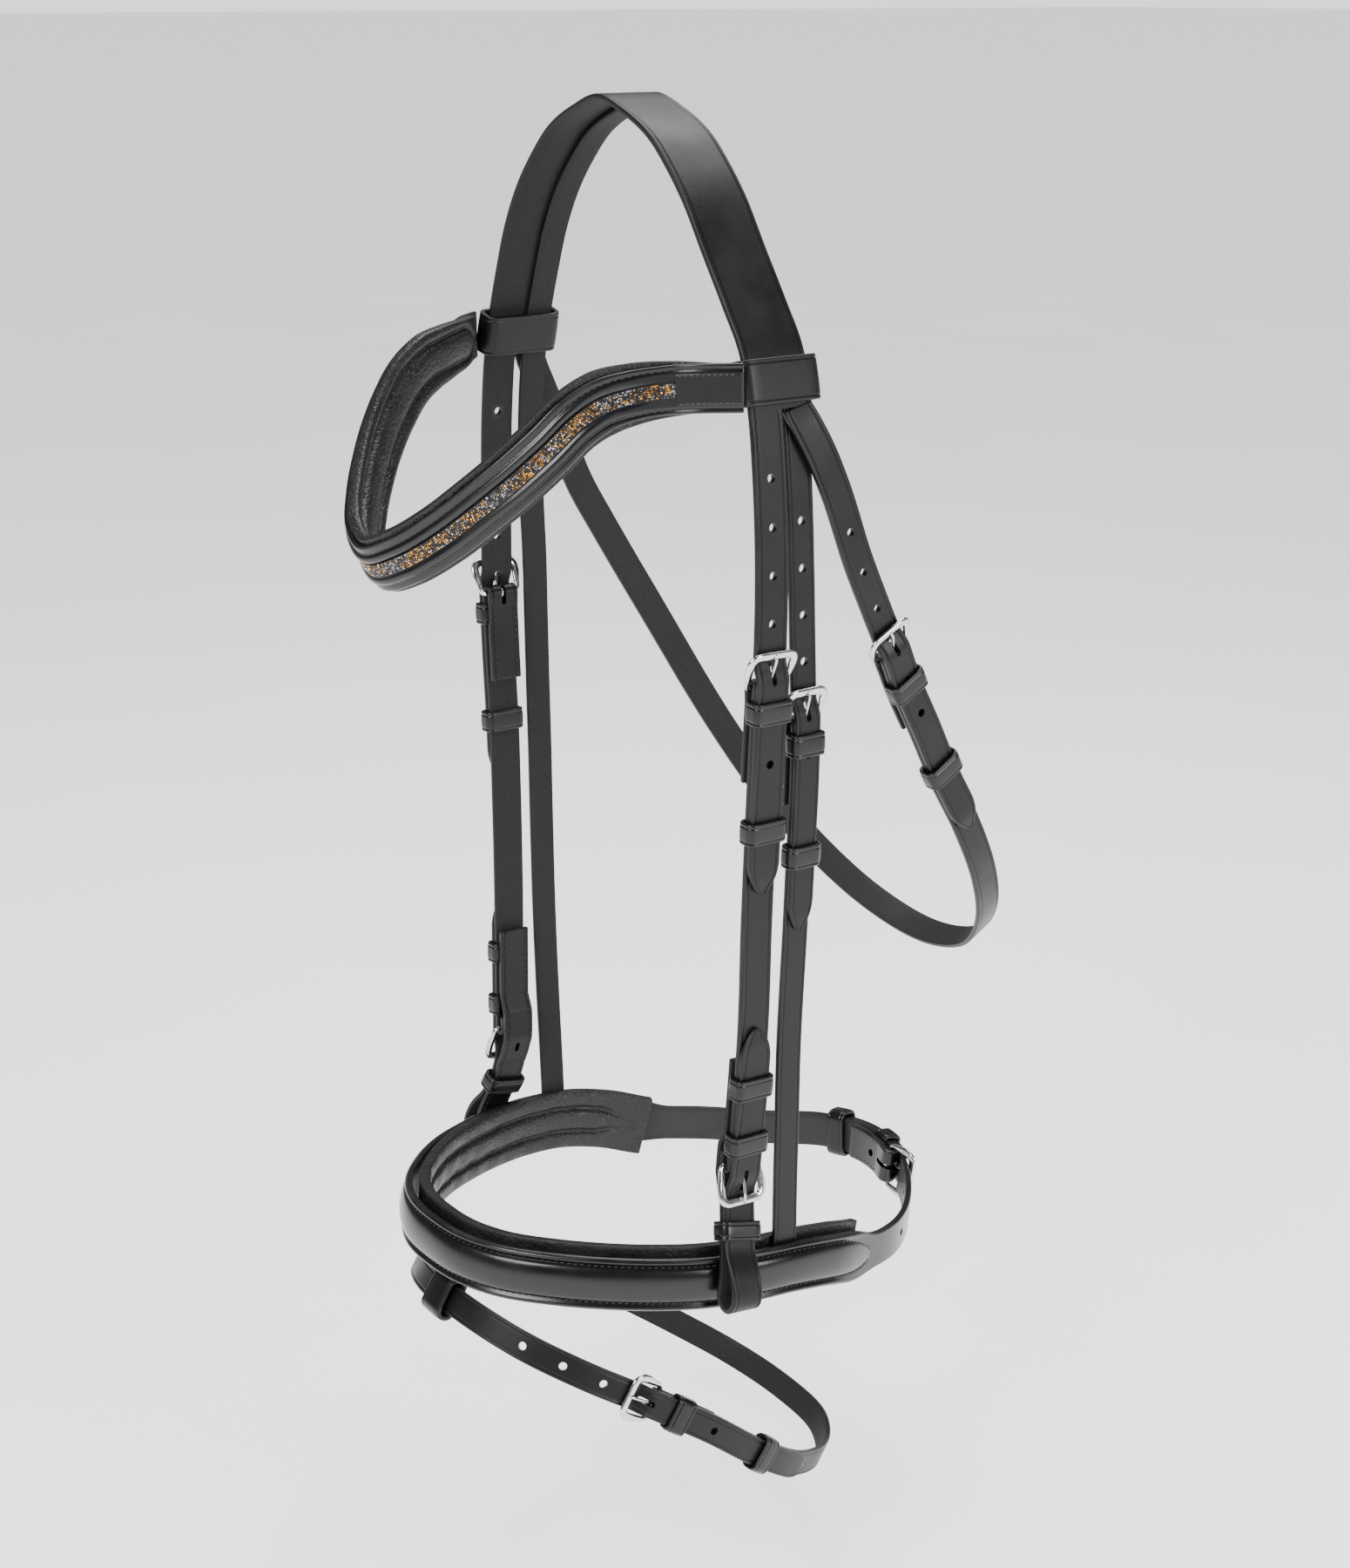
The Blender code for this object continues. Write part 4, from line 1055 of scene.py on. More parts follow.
def band(name: str, route: Route, s: float, half: float, low: float, high: float, ease: float,
         finish: bpy.types.Material, height: float = KEEPER_HEIGHT, side: int = 1,
         thickness: float = KEEPER_THICK, centre: float = 0.0, swell: float = 0.25 * MM,
         corner: float | None = None) -> bpy.types.Object:
    """A leather band round the straps between levels low and high: a keeper, runner or loop.

    Its section stands outwards from a rounded rectangle and is carried round it, crowned by the
    square of its height.

    Args:
        name: the band's name.
        route: the straps' route.
        s: the middle of the band on it.
        half: half the straps' width.
        low: the straps' inner level.
        high: their outer level.
        ease: room between them and the band.
        finish: its leather.
        height: along the route.
        side: -1 on the off side.
        thickness: of its leather.
        centre: the straps' middle, across the route.
        swell: how far its crown stands out.
        corner: the radius of its inner corners.

    Returns:
        The object.
    """
    outline, outward = rounded(half + ease, (high - low) / 2 + ease, corner or 2.5 * ease)
    n = len(outline)
    a, b, marks = KEEPER_SECTION.points(np.full(n, height / 2), np.full(n, thickness))
    b = b + swell * (1.0 - (2 * a / height) ** 2) * (b > 0.5 * thickness)
    place, direction, out, width = route.frame(s)
    middle = place + out * (low + high) / 2 + width * centre
    u = outline[:, :1] + outward[:, :1] * b
    v = outline[:, 1:] + outward[:, 1:] * b
    grid = middle + direction * a[..., None] + width * u[..., None] + out * v[..., None]
    return mesh_object(name, to_side(grid, side), grid_faces(n, a.shape[1], True, side < 0),
                       finish, attributes={k: m.ravel() for k, m in marks.items()})


@dataclass
class Buckle:
    """A wire buckle: its billet comes under the outer bar and over the fold on the inner bar.

    way is 1 where the billet runs along the route and -1 where it runs against it.
    """

    name: str
    route: Route
    s_outer: float
    way: int
    width: float
    billet: float
    holder: float
    side: int = 1
    length: float = BUCKLE_LENGTH
    base: float = 0.0

    def __post_init__(self) -> None:
        """Levels of the two bars and of the strap that holds the inner one."""
        self.s_inner = self.s_outer + self.way * self.length
        self.radius = BAR_RADIUS + GAP
        self.v_holder = self.base + LIFT - GAP - self.holder
        self.v_inner = self.v_holder - self.radius
        self.v_outer = self.base + self.billet + GAP + BAR_RADIUS

    def level(self, s: Array) -> Array:
        """The billet's rise: none before the buckle, LIFT after it, a level-ended ramp between."""
        a = (np.asarray(s) - self.s_outer) * self.way
        return LIFT * smooth((a - CLIMB_START) / (self.length - CLIMB_END - CLIMB_START))

    def fold(self, s_return: float, legs: list, gap: float, settle: float = SETTLE) -> list:
        """Run of the holding strap: its inner layer, a half circle round the bar, then the legs.

        Args:
            s_return: where the inner layer ends.
            legs: the outer layer's places after the fold.
            gap: from the outer layer down to the inner one.
            settle: how far from the bar the inner layer is level.

        Returns:
            The run's (s, v) places.
        """
        way, r = self.way, self.radius
        angle = np.linspace(-math.pi / 2, math.pi / 2, 13)
        bend = zip(self.s_inner - way * r * np.cos(angle), self.v_inner + r * np.sin(angle))
        under = self.v_holder - gap
        inner = [(s_return, under), (self.s_inner + way * settle, under),
                 (self.s_inner + way * TUCK, self.v_inner - r)]
        return inner + list(bend) + [(self.s_inner + way * FOLD_LEG, self.v_holder)] + legs

    def plane(self) -> tuple[Array, Array, Array, Array, float]:
        """The inner bar's middle, the ways to the outer bar, across and up, and their distance.

        Returns:
            The bar's middle, the three directions, and the distance between the bars.
        """
        inner = self.route.place(self.s_inner, 0.0, self.v_inner, self.side)
        outer = self.route.place(self.s_outer, 0.0, self.v_outer, self.side)
        across = to_side(self.route.frame(self.s_inner)[3], self.side)
        length = float(np.linalg.norm(outer - inner))
        ahead = (outer - inner) / length
        return inner, ahead, across, np.cross(ahead, across) * self.way * self.side, length

    def frame_piece(self, finish: bpy.types.Material) -> bpy.types.Object:
        """The frame: an oval section carried round a rounded rectangle, broader past the fold.

        Args:
            finish: its steel.

        Returns:
            The object.
        """
        inner, ahead, across, up, length = self.plane()
        half = self.width / 2 + BUCKLE_EASE + BAR_RADIUS
        outline, outward = rounded(half, length / 2, BUCKLE_CORNER, turn=9, span=10)
        share = smooth((outline[:, 1:] / length + 0.5) * 1.8 - 0.25)
        broad = BAR_RADIUS + (0.15 + 0.75 * share) * MM
        angle = np.linspace(0.0, 2 * math.pi, BAR_SIDES, endpoint=False)
        cos, sin = np.cos(angle), np.sin(angle)
        flat = broad - BAR_RADIUS + broad * np.sign(cos) * np.abs(cos) ** BAR_SQUARE
        rise = BAR_RADIUS * np.sign(sin) * np.abs(sin) ** BAR_SQUARE
        u = outline[:, :1] + outward[:, :1] * flat
        x = outline[:, 1:] + outward[:, 1:] * flat + length / 2
        grid = (inner + across * u[..., None] + ahead * x[..., None]
                + up * np.broadcast_to(rise, u.shape)[..., None])
        turned = np.dot(np.cross(across, ahead), up) > 0
        return mesh_object(self.name + "_bars", grid,
                           grid_faces(len(u), BAR_SIDES, True, not turned), finish)

    def tongue_piece(self, finish: bpy.types.Material) -> bpy.types.Object:
        """The tongue: a round wire hooked on the inner bar, drawn finer to its rounded tip.

        Args:
            finish: its steel.

        Returns:
            The object.
        """
        inner, ahead, across, up, length = self.plane()
        hook = BAR_RADIUS + HOOK_EASE + TONGUE_RADIUS
        angle = np.radians(np.linspace(-50.0, -270.0, 22))
        shank = np.linspace(0.0, 1.0, 14)[1:]
        x = np.concatenate([hook * np.cos(angle), shank * (length + TONGUE_TIP)])
        z = np.concatenate([hook * np.sin(angle), hook - 0.5 * TONGUE_TIP * smooth(shank * 5 - 4)])
        step = unit(np.stack([np.gradient(x), np.gradient(z)], -1))
        far = lengths(np.stack([x, z], -1))
        share = np.clip(1.0 - np.minimum(far, far[-1] - far) / TONGUE_RADIUS, 0.0, 0.97)
        radius = TONGUE_RADIUS * np.sqrt(1.0 - share**2)
        radius = (radius * (1.0 - PIN_TAPER * smooth(far / far[-1])))[:, None]
        ring = np.linspace(0.0, 2 * math.pi, RING_SIDES, endpoint=False)
        rx = x[:, None] - step[:, 1:] * radius * np.cos(ring)
        rz = z[:, None] + step[:, :1] * radius * np.cos(ring)
        ry = radius * np.sin(ring)
        grid = inner + ahead * rx[..., None] + across * ry[..., None] + up * rz[..., None]
        return tube(self.name + "_pin", grid, finish, np.dot(np.cross(ahead, up), across) > 0)

    def slots(self, v: float) -> list:
        """The cutter for the tongue's slot in the billet.

        Args:
            v: the billet's level.

        Returns:
            The cutter, in a list.
        """
        a, b = self.s_inner - self.way * SLOT_START, self.s_outer + self.way * SLOT_END
        inset = SLOT_HALF * self.way
        return [oval(self.route, a - inset, b + inset, v, SLOT_HALF, self.side)]

    def hook_slot(self) -> list:
        """The cutter for the hook's slot in the fold."""
        return [oval(self.route, self.s_inner - HOOK_SLOT + SLOT_HALF,
                     self.s_inner + HOOK_SLOT - SLOT_HALF, self.v_inner, SLOT_HALF, self.side,
                     4.5 * MM)]

    def holes(self, before: int, after: int, v: float) -> list:
        """Cutters for the billet's other holes, a pitch apart.

        Args:
            before: holes on the near side of the one in use.
            after: holes past it.
            v: the billet's level.

        Returns:
            The cutters.
        """
        used = self.s_outer + self.way * TONGUE_HOLE
        at = [used + self.way * i * HOLE_PITCH for i in range(-before, after + 1) if i]
        return [oval(self.route, s, s, v, HOLE_RADIUS, self.side) for s in at]


@dataclass
class Workshop:
    """Puts the finished pieces on the model's bodies."""

    finishes: Palette = field(default_factory=Palette)

    def fit(self, made: bpy.types.Object, body: str, slot: Slot, *nodes: str) -> bpy.types.Object:
        """A piece that moves with a body and stands for the nodes.

        Args:
            made: the piece.
            body: the body's name.
            slot: the piece's material slot, passed on to mark.
            nodes: what it replaces.

        Returns:
            The piece.
        """
        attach(made, body)
        self.mark(made, slot, *nodes)
        return made

    def mark(self, made: bpy.types.Object, slot: Slot, *nodes: str) -> None:
        """Hide the nodes that a piece replaces, and report it.

        Args:
            made: the piece.
            slot: not used.
            nodes: what it replaces.
        """
        if nodes:
            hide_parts(*nodes)
        LOG.info("%s: %d faces", made.name, len(made.data.polygons))

    def buckle(self, plan: Buckle, body: str) -> None:
        """A buckle's frame and tongue.

        Args:
            plan: the buckle.
            body: what its frame rides on.
        """
        steel = self.finishes.steel
        self.fit(plan.frame_piece(steel), body, Slot.STEEL, plan.name + "_frame")
        self.fit(plan.tongue_piece(steel), plan.name + "_tongue", Slot.STEEL, plan.name + "_tongue")

    def band(self, node: str, body: str, *place: object, **sizes: object) -> None:
        """A keeper or runner."""
        made = band(node + "_band", *place, self.finishes.band, **sizes)
        self.fit(made, body, Slot.LEATHER, node)

    def bands(self, name: str, body: str, route: Route, at: tuple, half: float, levels: tuple,
              side: int = 1, ease: float = RUNNER_EASE, **sizes: float) -> None:
        """A buckle's fixed keeper and its sliding runner.

        Args:
            name: what their names begin with.
            body: what the keeper rides on.
            route: the straps' route.
            at: places of the keeper and the runner along it.
            half: half the straps' width.
            levels: the straps' inner and outer levels.
            side: -1 on the off side.
            ease: room inside the runner.
            sizes: of the runner.
        """
        runner = name + "_runner"
        self.band(name + "_keeper", body, route, at[0], half, *levels, KEEPER_EASE, side=side)
        self.band(runner, runner, route, at[1], half, *levels, ease, side=side, **sizes)

    def leather(self, plan: Strap, *cuts: list, finish: bpy.types.Material | None = None
                ) -> bpy.types.Object:
        """A strap with its holes and slots cut.

        Args:
            plan: the strap.
            cuts: lists of cutters, each list taken out in one go.
            finish: its leather, if it is not plain strap leather.

        Returns:
            The piece.
        """
        made = plan.build(finish or self.finishes.strap)
        for cutters in cuts:
            drill(made, cutters)
        return made

    def strap(self, plan: Strap, node: str, *cuts: list, body: str = "bridle",
              finish: bpy.types.Material | None = None) -> None:
        """A strap with its holes and slots cut, in place of its node."""
        self.fit(self.leather(plan, *cuts, finish=finish), body, Slot.LEATHER, node)

    def row(self, name: str, slot: Slot, *line: object, **sizes: object) -> None:
        """One row of stitches on the bridle's own body."""
        self.fit(seam(name, self.finishes.thread, *line, **sizes), "bridle", slot)

    def edge_seams(self, name: str, route: Route, s: Array, u: Array, v: Array, side: int = 1,
                   out: int = 1, **sizes: float) -> None:
        """Two rows of stitches, at u and -u.

        Args:
            name: what their names begin with.
            route: the strap's route.
            s: places along it.
            u: how far the rows lie from its middle.
            v: their level.
            side: -1 on the off side.
            out: -1 where they stand on the strap's inner face.
            sizes: of the stitches.
        """
        for i, sign in enumerate((1, -1)):
            self.row("%s_stitches_%d" % (name, i), Slot.LEATHER, route, s, sign * u, v, side, out,
                     **sizes)


def billet_stations(start: float, tip: float, stops: list | None = None) -> Array:
    """Stations of a billet from start to its tip, close together towards the tip.

    Args:
        start: where it begins.
        tip: where it ends.
        stops: stations that it has to have between them.

    Returns:
        The stations.
    """
    way = math.copysign(1.0, tip - start)
    point = [tip - way * TIP_LENGTH * t for t in TIP_STATIONS[::-1]]
    return refined([(x, 0.0) for x in [start, *(stops or []), *point]], FINE_STEP)[:, 0]


def closed_stations(plan: Buckle, layer: float, lap: float, tip: float,
                    stops: list | None = None) -> tuple[Array, Array, float]:
    """Stations of a strap that goes right round its route, from its tip to its own buckle.

    Args:
        plan: the buckle.
        layer: length of the fold's inner layer.
        lap: where the fold's outer layer meets the rest.
        tip: the billet's tip.
        stops: stations that the billet has to have.

    Returns:
        The billet's stations, the run of the fold that follows them, and where the two meet.
    """
    fold = plan.fold(plan.s_inner - layer, [(lap, plan.v_holder)], LAYER_GAP)
    fold = refined([(plan.route.length + s, v) for s, v in fold[::-1]])
    join = fold[0, 0] - SHARED_LENGTH
    return billet_stations(join, tip, stops)[::-1][:-SHARED], fold[SHARED:], join


@dataclass
class Headpiece:
    """The crown strap, which parts below each browband loop into a billet and a throat branch."""

    buckle_z: float = -215.5
    tip_z: float = -321.0
    slit_z: float = -115.0
    slit_width: float = 0.5 * MM

    def build(self, shop: Workshop) -> None:
        """The crown and its two cheek billets.

        Args:
            shop: the workshop.
        """
        plans = [Buckle("", HEAD, HEAD.at_height(self.buckle_z, side < 0), side, CHEEK_WIDTH,
                        HEAD_THICK, CHEEK_THICK) for side in (-1, 1)]
        slits = [HEAD.at_height(self.slit_z, off) for off in (True, False)]
        tips = [HEAD.at_height(self.tip_z, off) for off in (True, False)]
        ends = [t + way * TIP_LENGTH * k for t, way in zip(tips, (1, -1)) for k in TIP_STATIONS]
        stops = sorted(ends + [x + e * self.slit_width / 2 for x in slits for e in (-1, 1)])
        s = refined([(x, 0.0) for x in stops])[:, 0]
        level = plans[0].level(s) + plans[1].level(s)
        half = np.minimum(tip_half(s - tips[0], CHEEK_WIDTH), tip_half(tips[1] - s, CHEEK_WIDTH))
        inside = np.minimum(s - slits[0], slits[1] - s)
        wide = np.clip(inside / self.slit_width + 0.5, 0.0, 1.0)
        low = -half + wide * (CHEEK_WIDTH - HEAD_WIDTH)
        crown = Strap("crown", HEAD, np.column_stack([s, level]), (half - low) / 2, HEAD_THICK,
                      centre=(half + low) / 2, skive=(SKIVE, SKIVE))
        cutters = [c for p in plans for c in p.holes(4, 2, 0.0) + p.slots(0.0)]
        shop.strap(crown, "headpiece", cutters)


@dataclass
class Cheek:
    """One cheekpiece with the strap that holds the bit."""

    side: int
    label: str
    fold_z: float = -271.0
    keeper_z: float = -239.0
    runner_z: float = -292.0
    bit_keepers_z: tuple = (-411.0, -438.0, -480.5)
    lining_z: float = -399.0
    tip_z: float = -383.0
    loop_z: float = -511.0
    loop_radius: float = 4.2 * MM
    bit_return: float = 6.0 * MM
    buckle_z: float = -215.5
    bit_buckle_z: float = -465.5

    def build(self, shop: Workshop) -> None:
        """Both straps, their buckles and their bands.

        Args:
            shop: the workshop.
        """
        at, half = CHEEKS.at_height, CHEEK_WIDTH / 2
        top = Buckle(self.label + "_cheek_buckle", CHEEKS, at(self.buckle_z), 1, CHEEK_WIDTH,
                     HEAD_THICK, CHEEK_THICK, self.side)
        bit = Buckle(self.label + "_bit_buckle", CHEEKS, at(self.bit_buckle_z), -1, CHEEK_WIDTH,
                     CHEEK_THICK, CHEEK_THICK, self.side, BIT_BUCKLE_LENGTH)
        run = top.fold(at(self.fold_z), [(bit.s_inner - FOLD_LEG, bit.v_holder)], LAYER_GAP)
        turn = bit.fold(bit.s_inner - self.bit_return, [], 2 * bit.radius, self.bit_return / 2)
        strap = Strap(self.label + "_cheek_strap", CHEEKS, refined(run + turn[::-1][1:]), half,
                      CHEEK_THICK, side=self.side)
        shop.strap(strap, self.label + "_cheekpiece", top.hook_slot() + bit.hook_slot())
        s = np.linspace(top.s_inner + 5 * MM, at(self.fold_z) - 1.5 * MM, 30)
        shop.edge_seams(self.label + "_cheek_fold", CHEEKS, s, half - SEAM_INSET,
                        top.v_holder - LAYER_GAP - CHEEK_THICK, self.side, -1)
        shop.buckle(top, "bridle")
        shop.buckle(bit, "bridle")
        shop.bands(self.label + "_cheek", "bridle", CHEEKS, (at(self.keeper_z), at(self.runner_z)),
                   half, (top.v_holder, LIFT + HEAD_THICK), self.side)
        for name, z in zip(("upper", "middle"), self.bit_keepers_z):
            shop.band("%s_bit_keeper_%s" % (self.label, name), "bridle", CHEEKS, at(z), half,
                      bit.v_holder, LIFT + CHEEK_THICK, KEEPER_EASE, side=self.side)
        shop.band(self.label + "_bit_keeper_lower", "bridle", CHEEKS, at(self.bit_keepers_z[2]),
                  half, -2 * GAP - CHEEK_THICK, CHEEK_THICK, BEND_EASE, height=8.5 * MM,
                  side=self.side, corner=2.0 * MM)
        self.bit_strap(shop, bit)

    def bit_strap(self, shop: Workshop, bit: Buckle) -> None:
        """The bit strap: its stitched lining, its open loop and its billet, which points up.

        Args:
            shop: the workshop.
            bit: its buckle.
        """
        at, half = CHEEKS.at_height, CHEEK_WIDTH / 2
        upper = bit.v_holder - LAYER_GAP
        lower = bit.v_inner - bit.radius - CHEEK_THICK - GAP
        joined, r = -2 * GAP, self.loop_radius
        loop, tip = at(self.loop_z), at(self.tip_z)
        under = bit.s_inner - self.bit_return - CLIMB_START
        past = bit.s_inner + bit.radius + CHEEK_THICK + TUCK
        down = [(at(self.lining_z), upper), (under - 8 * MM, upper), (under, lower), (past, lower),
                (past + 14 * MM, joined), (loop - r - FOLD_LEG, joined)]
        angle = np.linspace(0.0, math.pi, 17)
        ring = list(zip(loop - r + r * np.sin(angle), joined + r - r * np.cos(angle)))
        swell = at(self.bit_keepers_z[2]) + 6.0 * MM
        s = np.linspace(loop - r, swell, 14)[1:]
        rise = list(zip(s, (joined + 2 * r) * smooth((s - swell) / (loop - r - swell))))
        first = refined(down + ring + rise, FINE_STEP)[:-SHARED]
        s = billet_stations(swell, tip)[SHARED + 1:]
        run = np.vstack([first, np.column_stack([s, bit.level(s)])])
        widths = np.concatenate([np.full(len(first), half), tip_half(s - tip, CHEEK_WIDTH)])
        strap = Strap(self.label + "_bit_loop", CHEEKS, run, widths, CHEEK_THICK, side=self.side,
                      left=-1, skive=(0.0, SKIVE))
        shop.strap(strap, self.label + "_bit_strap", bit.slots(0.0), bit.hook_slot())
        s = np.linspace(at(self.lining_z) + 2 * MM, loop - 16 * MM, 80)
        v = np.interp(s, *np.transpose(down)) - CHEEK_THICK
        shop.edge_seams(self.label + "_bit_lining", CHEEKS, s, half - SEAM_INSET, v, self.side, -1)


@dataclass
class Sliphead:
    """The strap over the poll that carries the noseband, buckled on the near side."""

    buckle_z: float = -235.0
    keeper_z: float = -257.0
    runner_z: float = -307.0
    tip_z: float = -342.0
    fold_z: float = -285.0
    end_z: float = -508.0

    def build(self, shop: Workshop) -> None:
        """The upper strap with its billet, and the lower strap.

        Args:
            shop: the workshop.
        """
        at, half = SLIPHEAD.at_height, SLIP_WIDTH / 2
        under = -(GAP + SLIP_THICK)
        plan = Buckle("sliphead_buckle", SLIPHEAD, at(self.buckle_z), 1, SLIP_WIDTH, SLIP_THICK,
                      SLIP_THICK, base=under)
        tip = at(self.tip_z)
        s = billet_stations(at(self.end_z, True), tip)
        upper = Strap("sliphead_strap", SLIPHEAD, np.column_stack([s, under + plan.level(s)]),
                      tip_half(tip - s, SLIP_WIDTH), SLIP_THICK, SMALL, skive=(0.0, SKIVE))
        shop.strap(upper, "sliphead", plan.holes(4, 1, under) + plan.slots(under))
        run = plan.fold(at(self.fold_z), [(at(self.end_z), plan.v_holder)], LAYER_GAP)
        lower = Strap("sliphead_lower_strap", SLIPHEAD, refined(run), half, SLIP_THICK, SMALL)
        shop.strap(lower, "sliphead_lower", plan.hook_slot())
        shop.buckle(plan, "bridle")
        shop.bands("sliphead", "bridle", SLIPHEAD, (at(self.keeper_z), at(self.runner_z)), half,
                   (plan.v_holder, under + LIFT + SLIP_THICK))


@dataclass
class Throatlatch:
    """The near throat billet, and the strap from its buckle round to the off side."""

    buckle_z: float = -216.0
    keeper_z: float = -242.0
    runner_z: float = -286.0
    tip_z: float = -318.0
    fold_z: float = -262.0
    slit_z: float = -115.0
    bend: float = 9.0 * MM
    rise: float = 60.0 * MM

    def root(self, shop: Workshop, made: bpy.types.Object, s: float, way: int, node: str) -> None:
        """Bake a branch's transform into its mesh, and hide the node it replaces.

        Args:
            shop: the workshop.
            made: the branch.
            s: where it starts.
            way: 1 where the branch runs along the route, and -1 against it.
            node: what it replaces.
        """
        start = THROATLATCH.place(s, 0.0, 0.0)
        end = THROATLATCH.place(s + way * self.bend, 0.0, 0.0)
        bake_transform(made)
        shop.mark(made, Slot.LEATHER, node)

    def build(self, shop: Workshop) -> None:
        """Both straps, their buckle and their bands.

        Args:
            shop: the workshop.
        """
        at, half = THROATLATCH.at_height, THROAT_WIDTH / 2
        plan = Buckle("throat_buckle", THROATLATCH, at(self.buckle_z, True), 1, THROAT_WIDTH,
                      HEAD_THICK, THROAT_THICK)
        start, tip = at(self.slit_z, True) - 0.2 * MM, at(self.tip_z, True)
        s = billet_stations(start, tip)
        billet = Strap("throat_billet", THROATLATCH, np.column_stack([s, plan.level(s)]),
                       tip_half(tip - s, THROAT_WIDTH), HEAD_THICK, skive=(0.0, SKIVE))
        made = shop.leather(billet, plan.holes(3, 2, 0.0) + plan.slots(0.0))
        self.root(shop, made, start, 1, "throatlatch_billet")
        last = at(self.slit_z) + 0.2 * MM
        legs = [(THROATLATCH.length / 2, plan.v_holder), (last - self.rise, 0.0), (last, 0.0)]
        run = refined(plan.fold(at(self.fold_z, True), legs, LAYER_GAP))
        strap = Strap("throat_strap", THROATLATCH, run, half, THROAT_THICK)
        self.root(shop, shop.leather(strap, plan.hook_slot()), last, -1, "throatlatch")
        shop.buckle(plan, "throatlatch")
        shop.bands("throat", "throatlatch", THROATLATCH,
                   (at(self.keeper_z, True), at(self.runner_z, True)), half,
                   (plan.v_holder, LIFT + HEAD_THICK))


def wrinkles(s: Array, a: Array, depth: float, seed: int) -> Array:
    """Creases of soft leather: sines across and askew of the length, each swelled by another.

    Args:
        s: metres along.
        a: metres across.
        depth: of the creases.
        seed: of their random draws.

    Returns:
        Metres outwards.
    """
    rng = np.random.default_rng(seed)
    total = 0.0
    for _ in range(7):
        f, g = rng.uniform(0.15, 0.45) / MM, rng.uniform(-0.22, 0.22) / MM
        p, q, slow = *rng.uniform(0.0, 6.3, 2), rng.uniform(0.02, 0.05) / MM
        total = total + np.sin(f * s + g * a + p) * np.sin(slow * s + 0.1 / MM * a + q) ** 2
    return depth * total / 2.5


@dataclass
class Pad:
    """A stuffed leather strip behind a strap, sewn through along two channels.

    The channels keep apart along the pad, and run together to a point near each end, where the
    leather lies flat.
    """

    name: str
    route: Route
    start: float
    end: float
    level: float
    half: Callable[[Array], Array]
    channel: float
    flap: float
    node: str
    seed: int

    def channels(self, s: Array) -> Array:
        """How far the channels lie from the middle."""
        inside = np.minimum(s - self.start, self.end - s) - 0.25 * self.flap
        return self.channel * np.clip(inside / (0.9 * self.flap), 0.0, 1.0) ** 0.7

    def relief(self, s: Array, a: Array) -> Array:
        """Crowned across, pressed in along the channels, and creased.

        Args:
            s: metres along.
            a: metres across.

        Returns:
            Metres outwards.
        """
        inside = np.minimum(s - self.start, self.end - s)
        full = smooth((inside - 0.2 * self.flap) / self.flap)
        apart = np.abs(np.abs(a) - self.channels(s))
        groove = np.exp(-(apart / (1.3 * MM)) ** 2) + 0.6 * np.exp(-(apart / (3.0 * MM)) ** 2)
        crown = (a / self.half(s)) ** 2
        creases = wrinkles(s, a, 0.22 * MM, self.seed)
        return (-1.5 * MM * groove * (0.25 + 0.75 * full) - 0.8 * MM * crown * full
                - 1.6 * MM * (1.0 - full) + creases * (0.4 + 0.6 * full))

    def build(self, shop: Workshop) -> None:
        """The pad and its two seams.

        Args:
            shop: the workshop.
        """
        run = refined([(self.start, self.level), (self.end, self.level)], 1.3 * MM)
        strap = Strap(self.name, self.route, run, self.half(run[:, 0]), PAD_THICK,
                      Section(0.0, corner=2.7 * MM, columns=33), left=-1, relief=self.relief)
        made = strap.build(shop.finishes.lining)
        made.data.validate()
        soft = made.modifiers.new("soft", "SUBSURF")
        soft.levels = soft.render_levels = 1
        shop.fit(made, "bridle", Slot.LINING, self.node)
        s = np.linspace(self.start + 0.25 * self.flap, self.end - 0.25 * self.flap, 400)
        for i, sign in enumerate((1, -1)):
            u = sign * self.channels(s)
            v = self.level - PAD_THICK - self.relief(s, u)
            shop.row("%s_stitches_%d" % (self.name, i), Slot.LINING, self.route, s, u, v, out=-1)


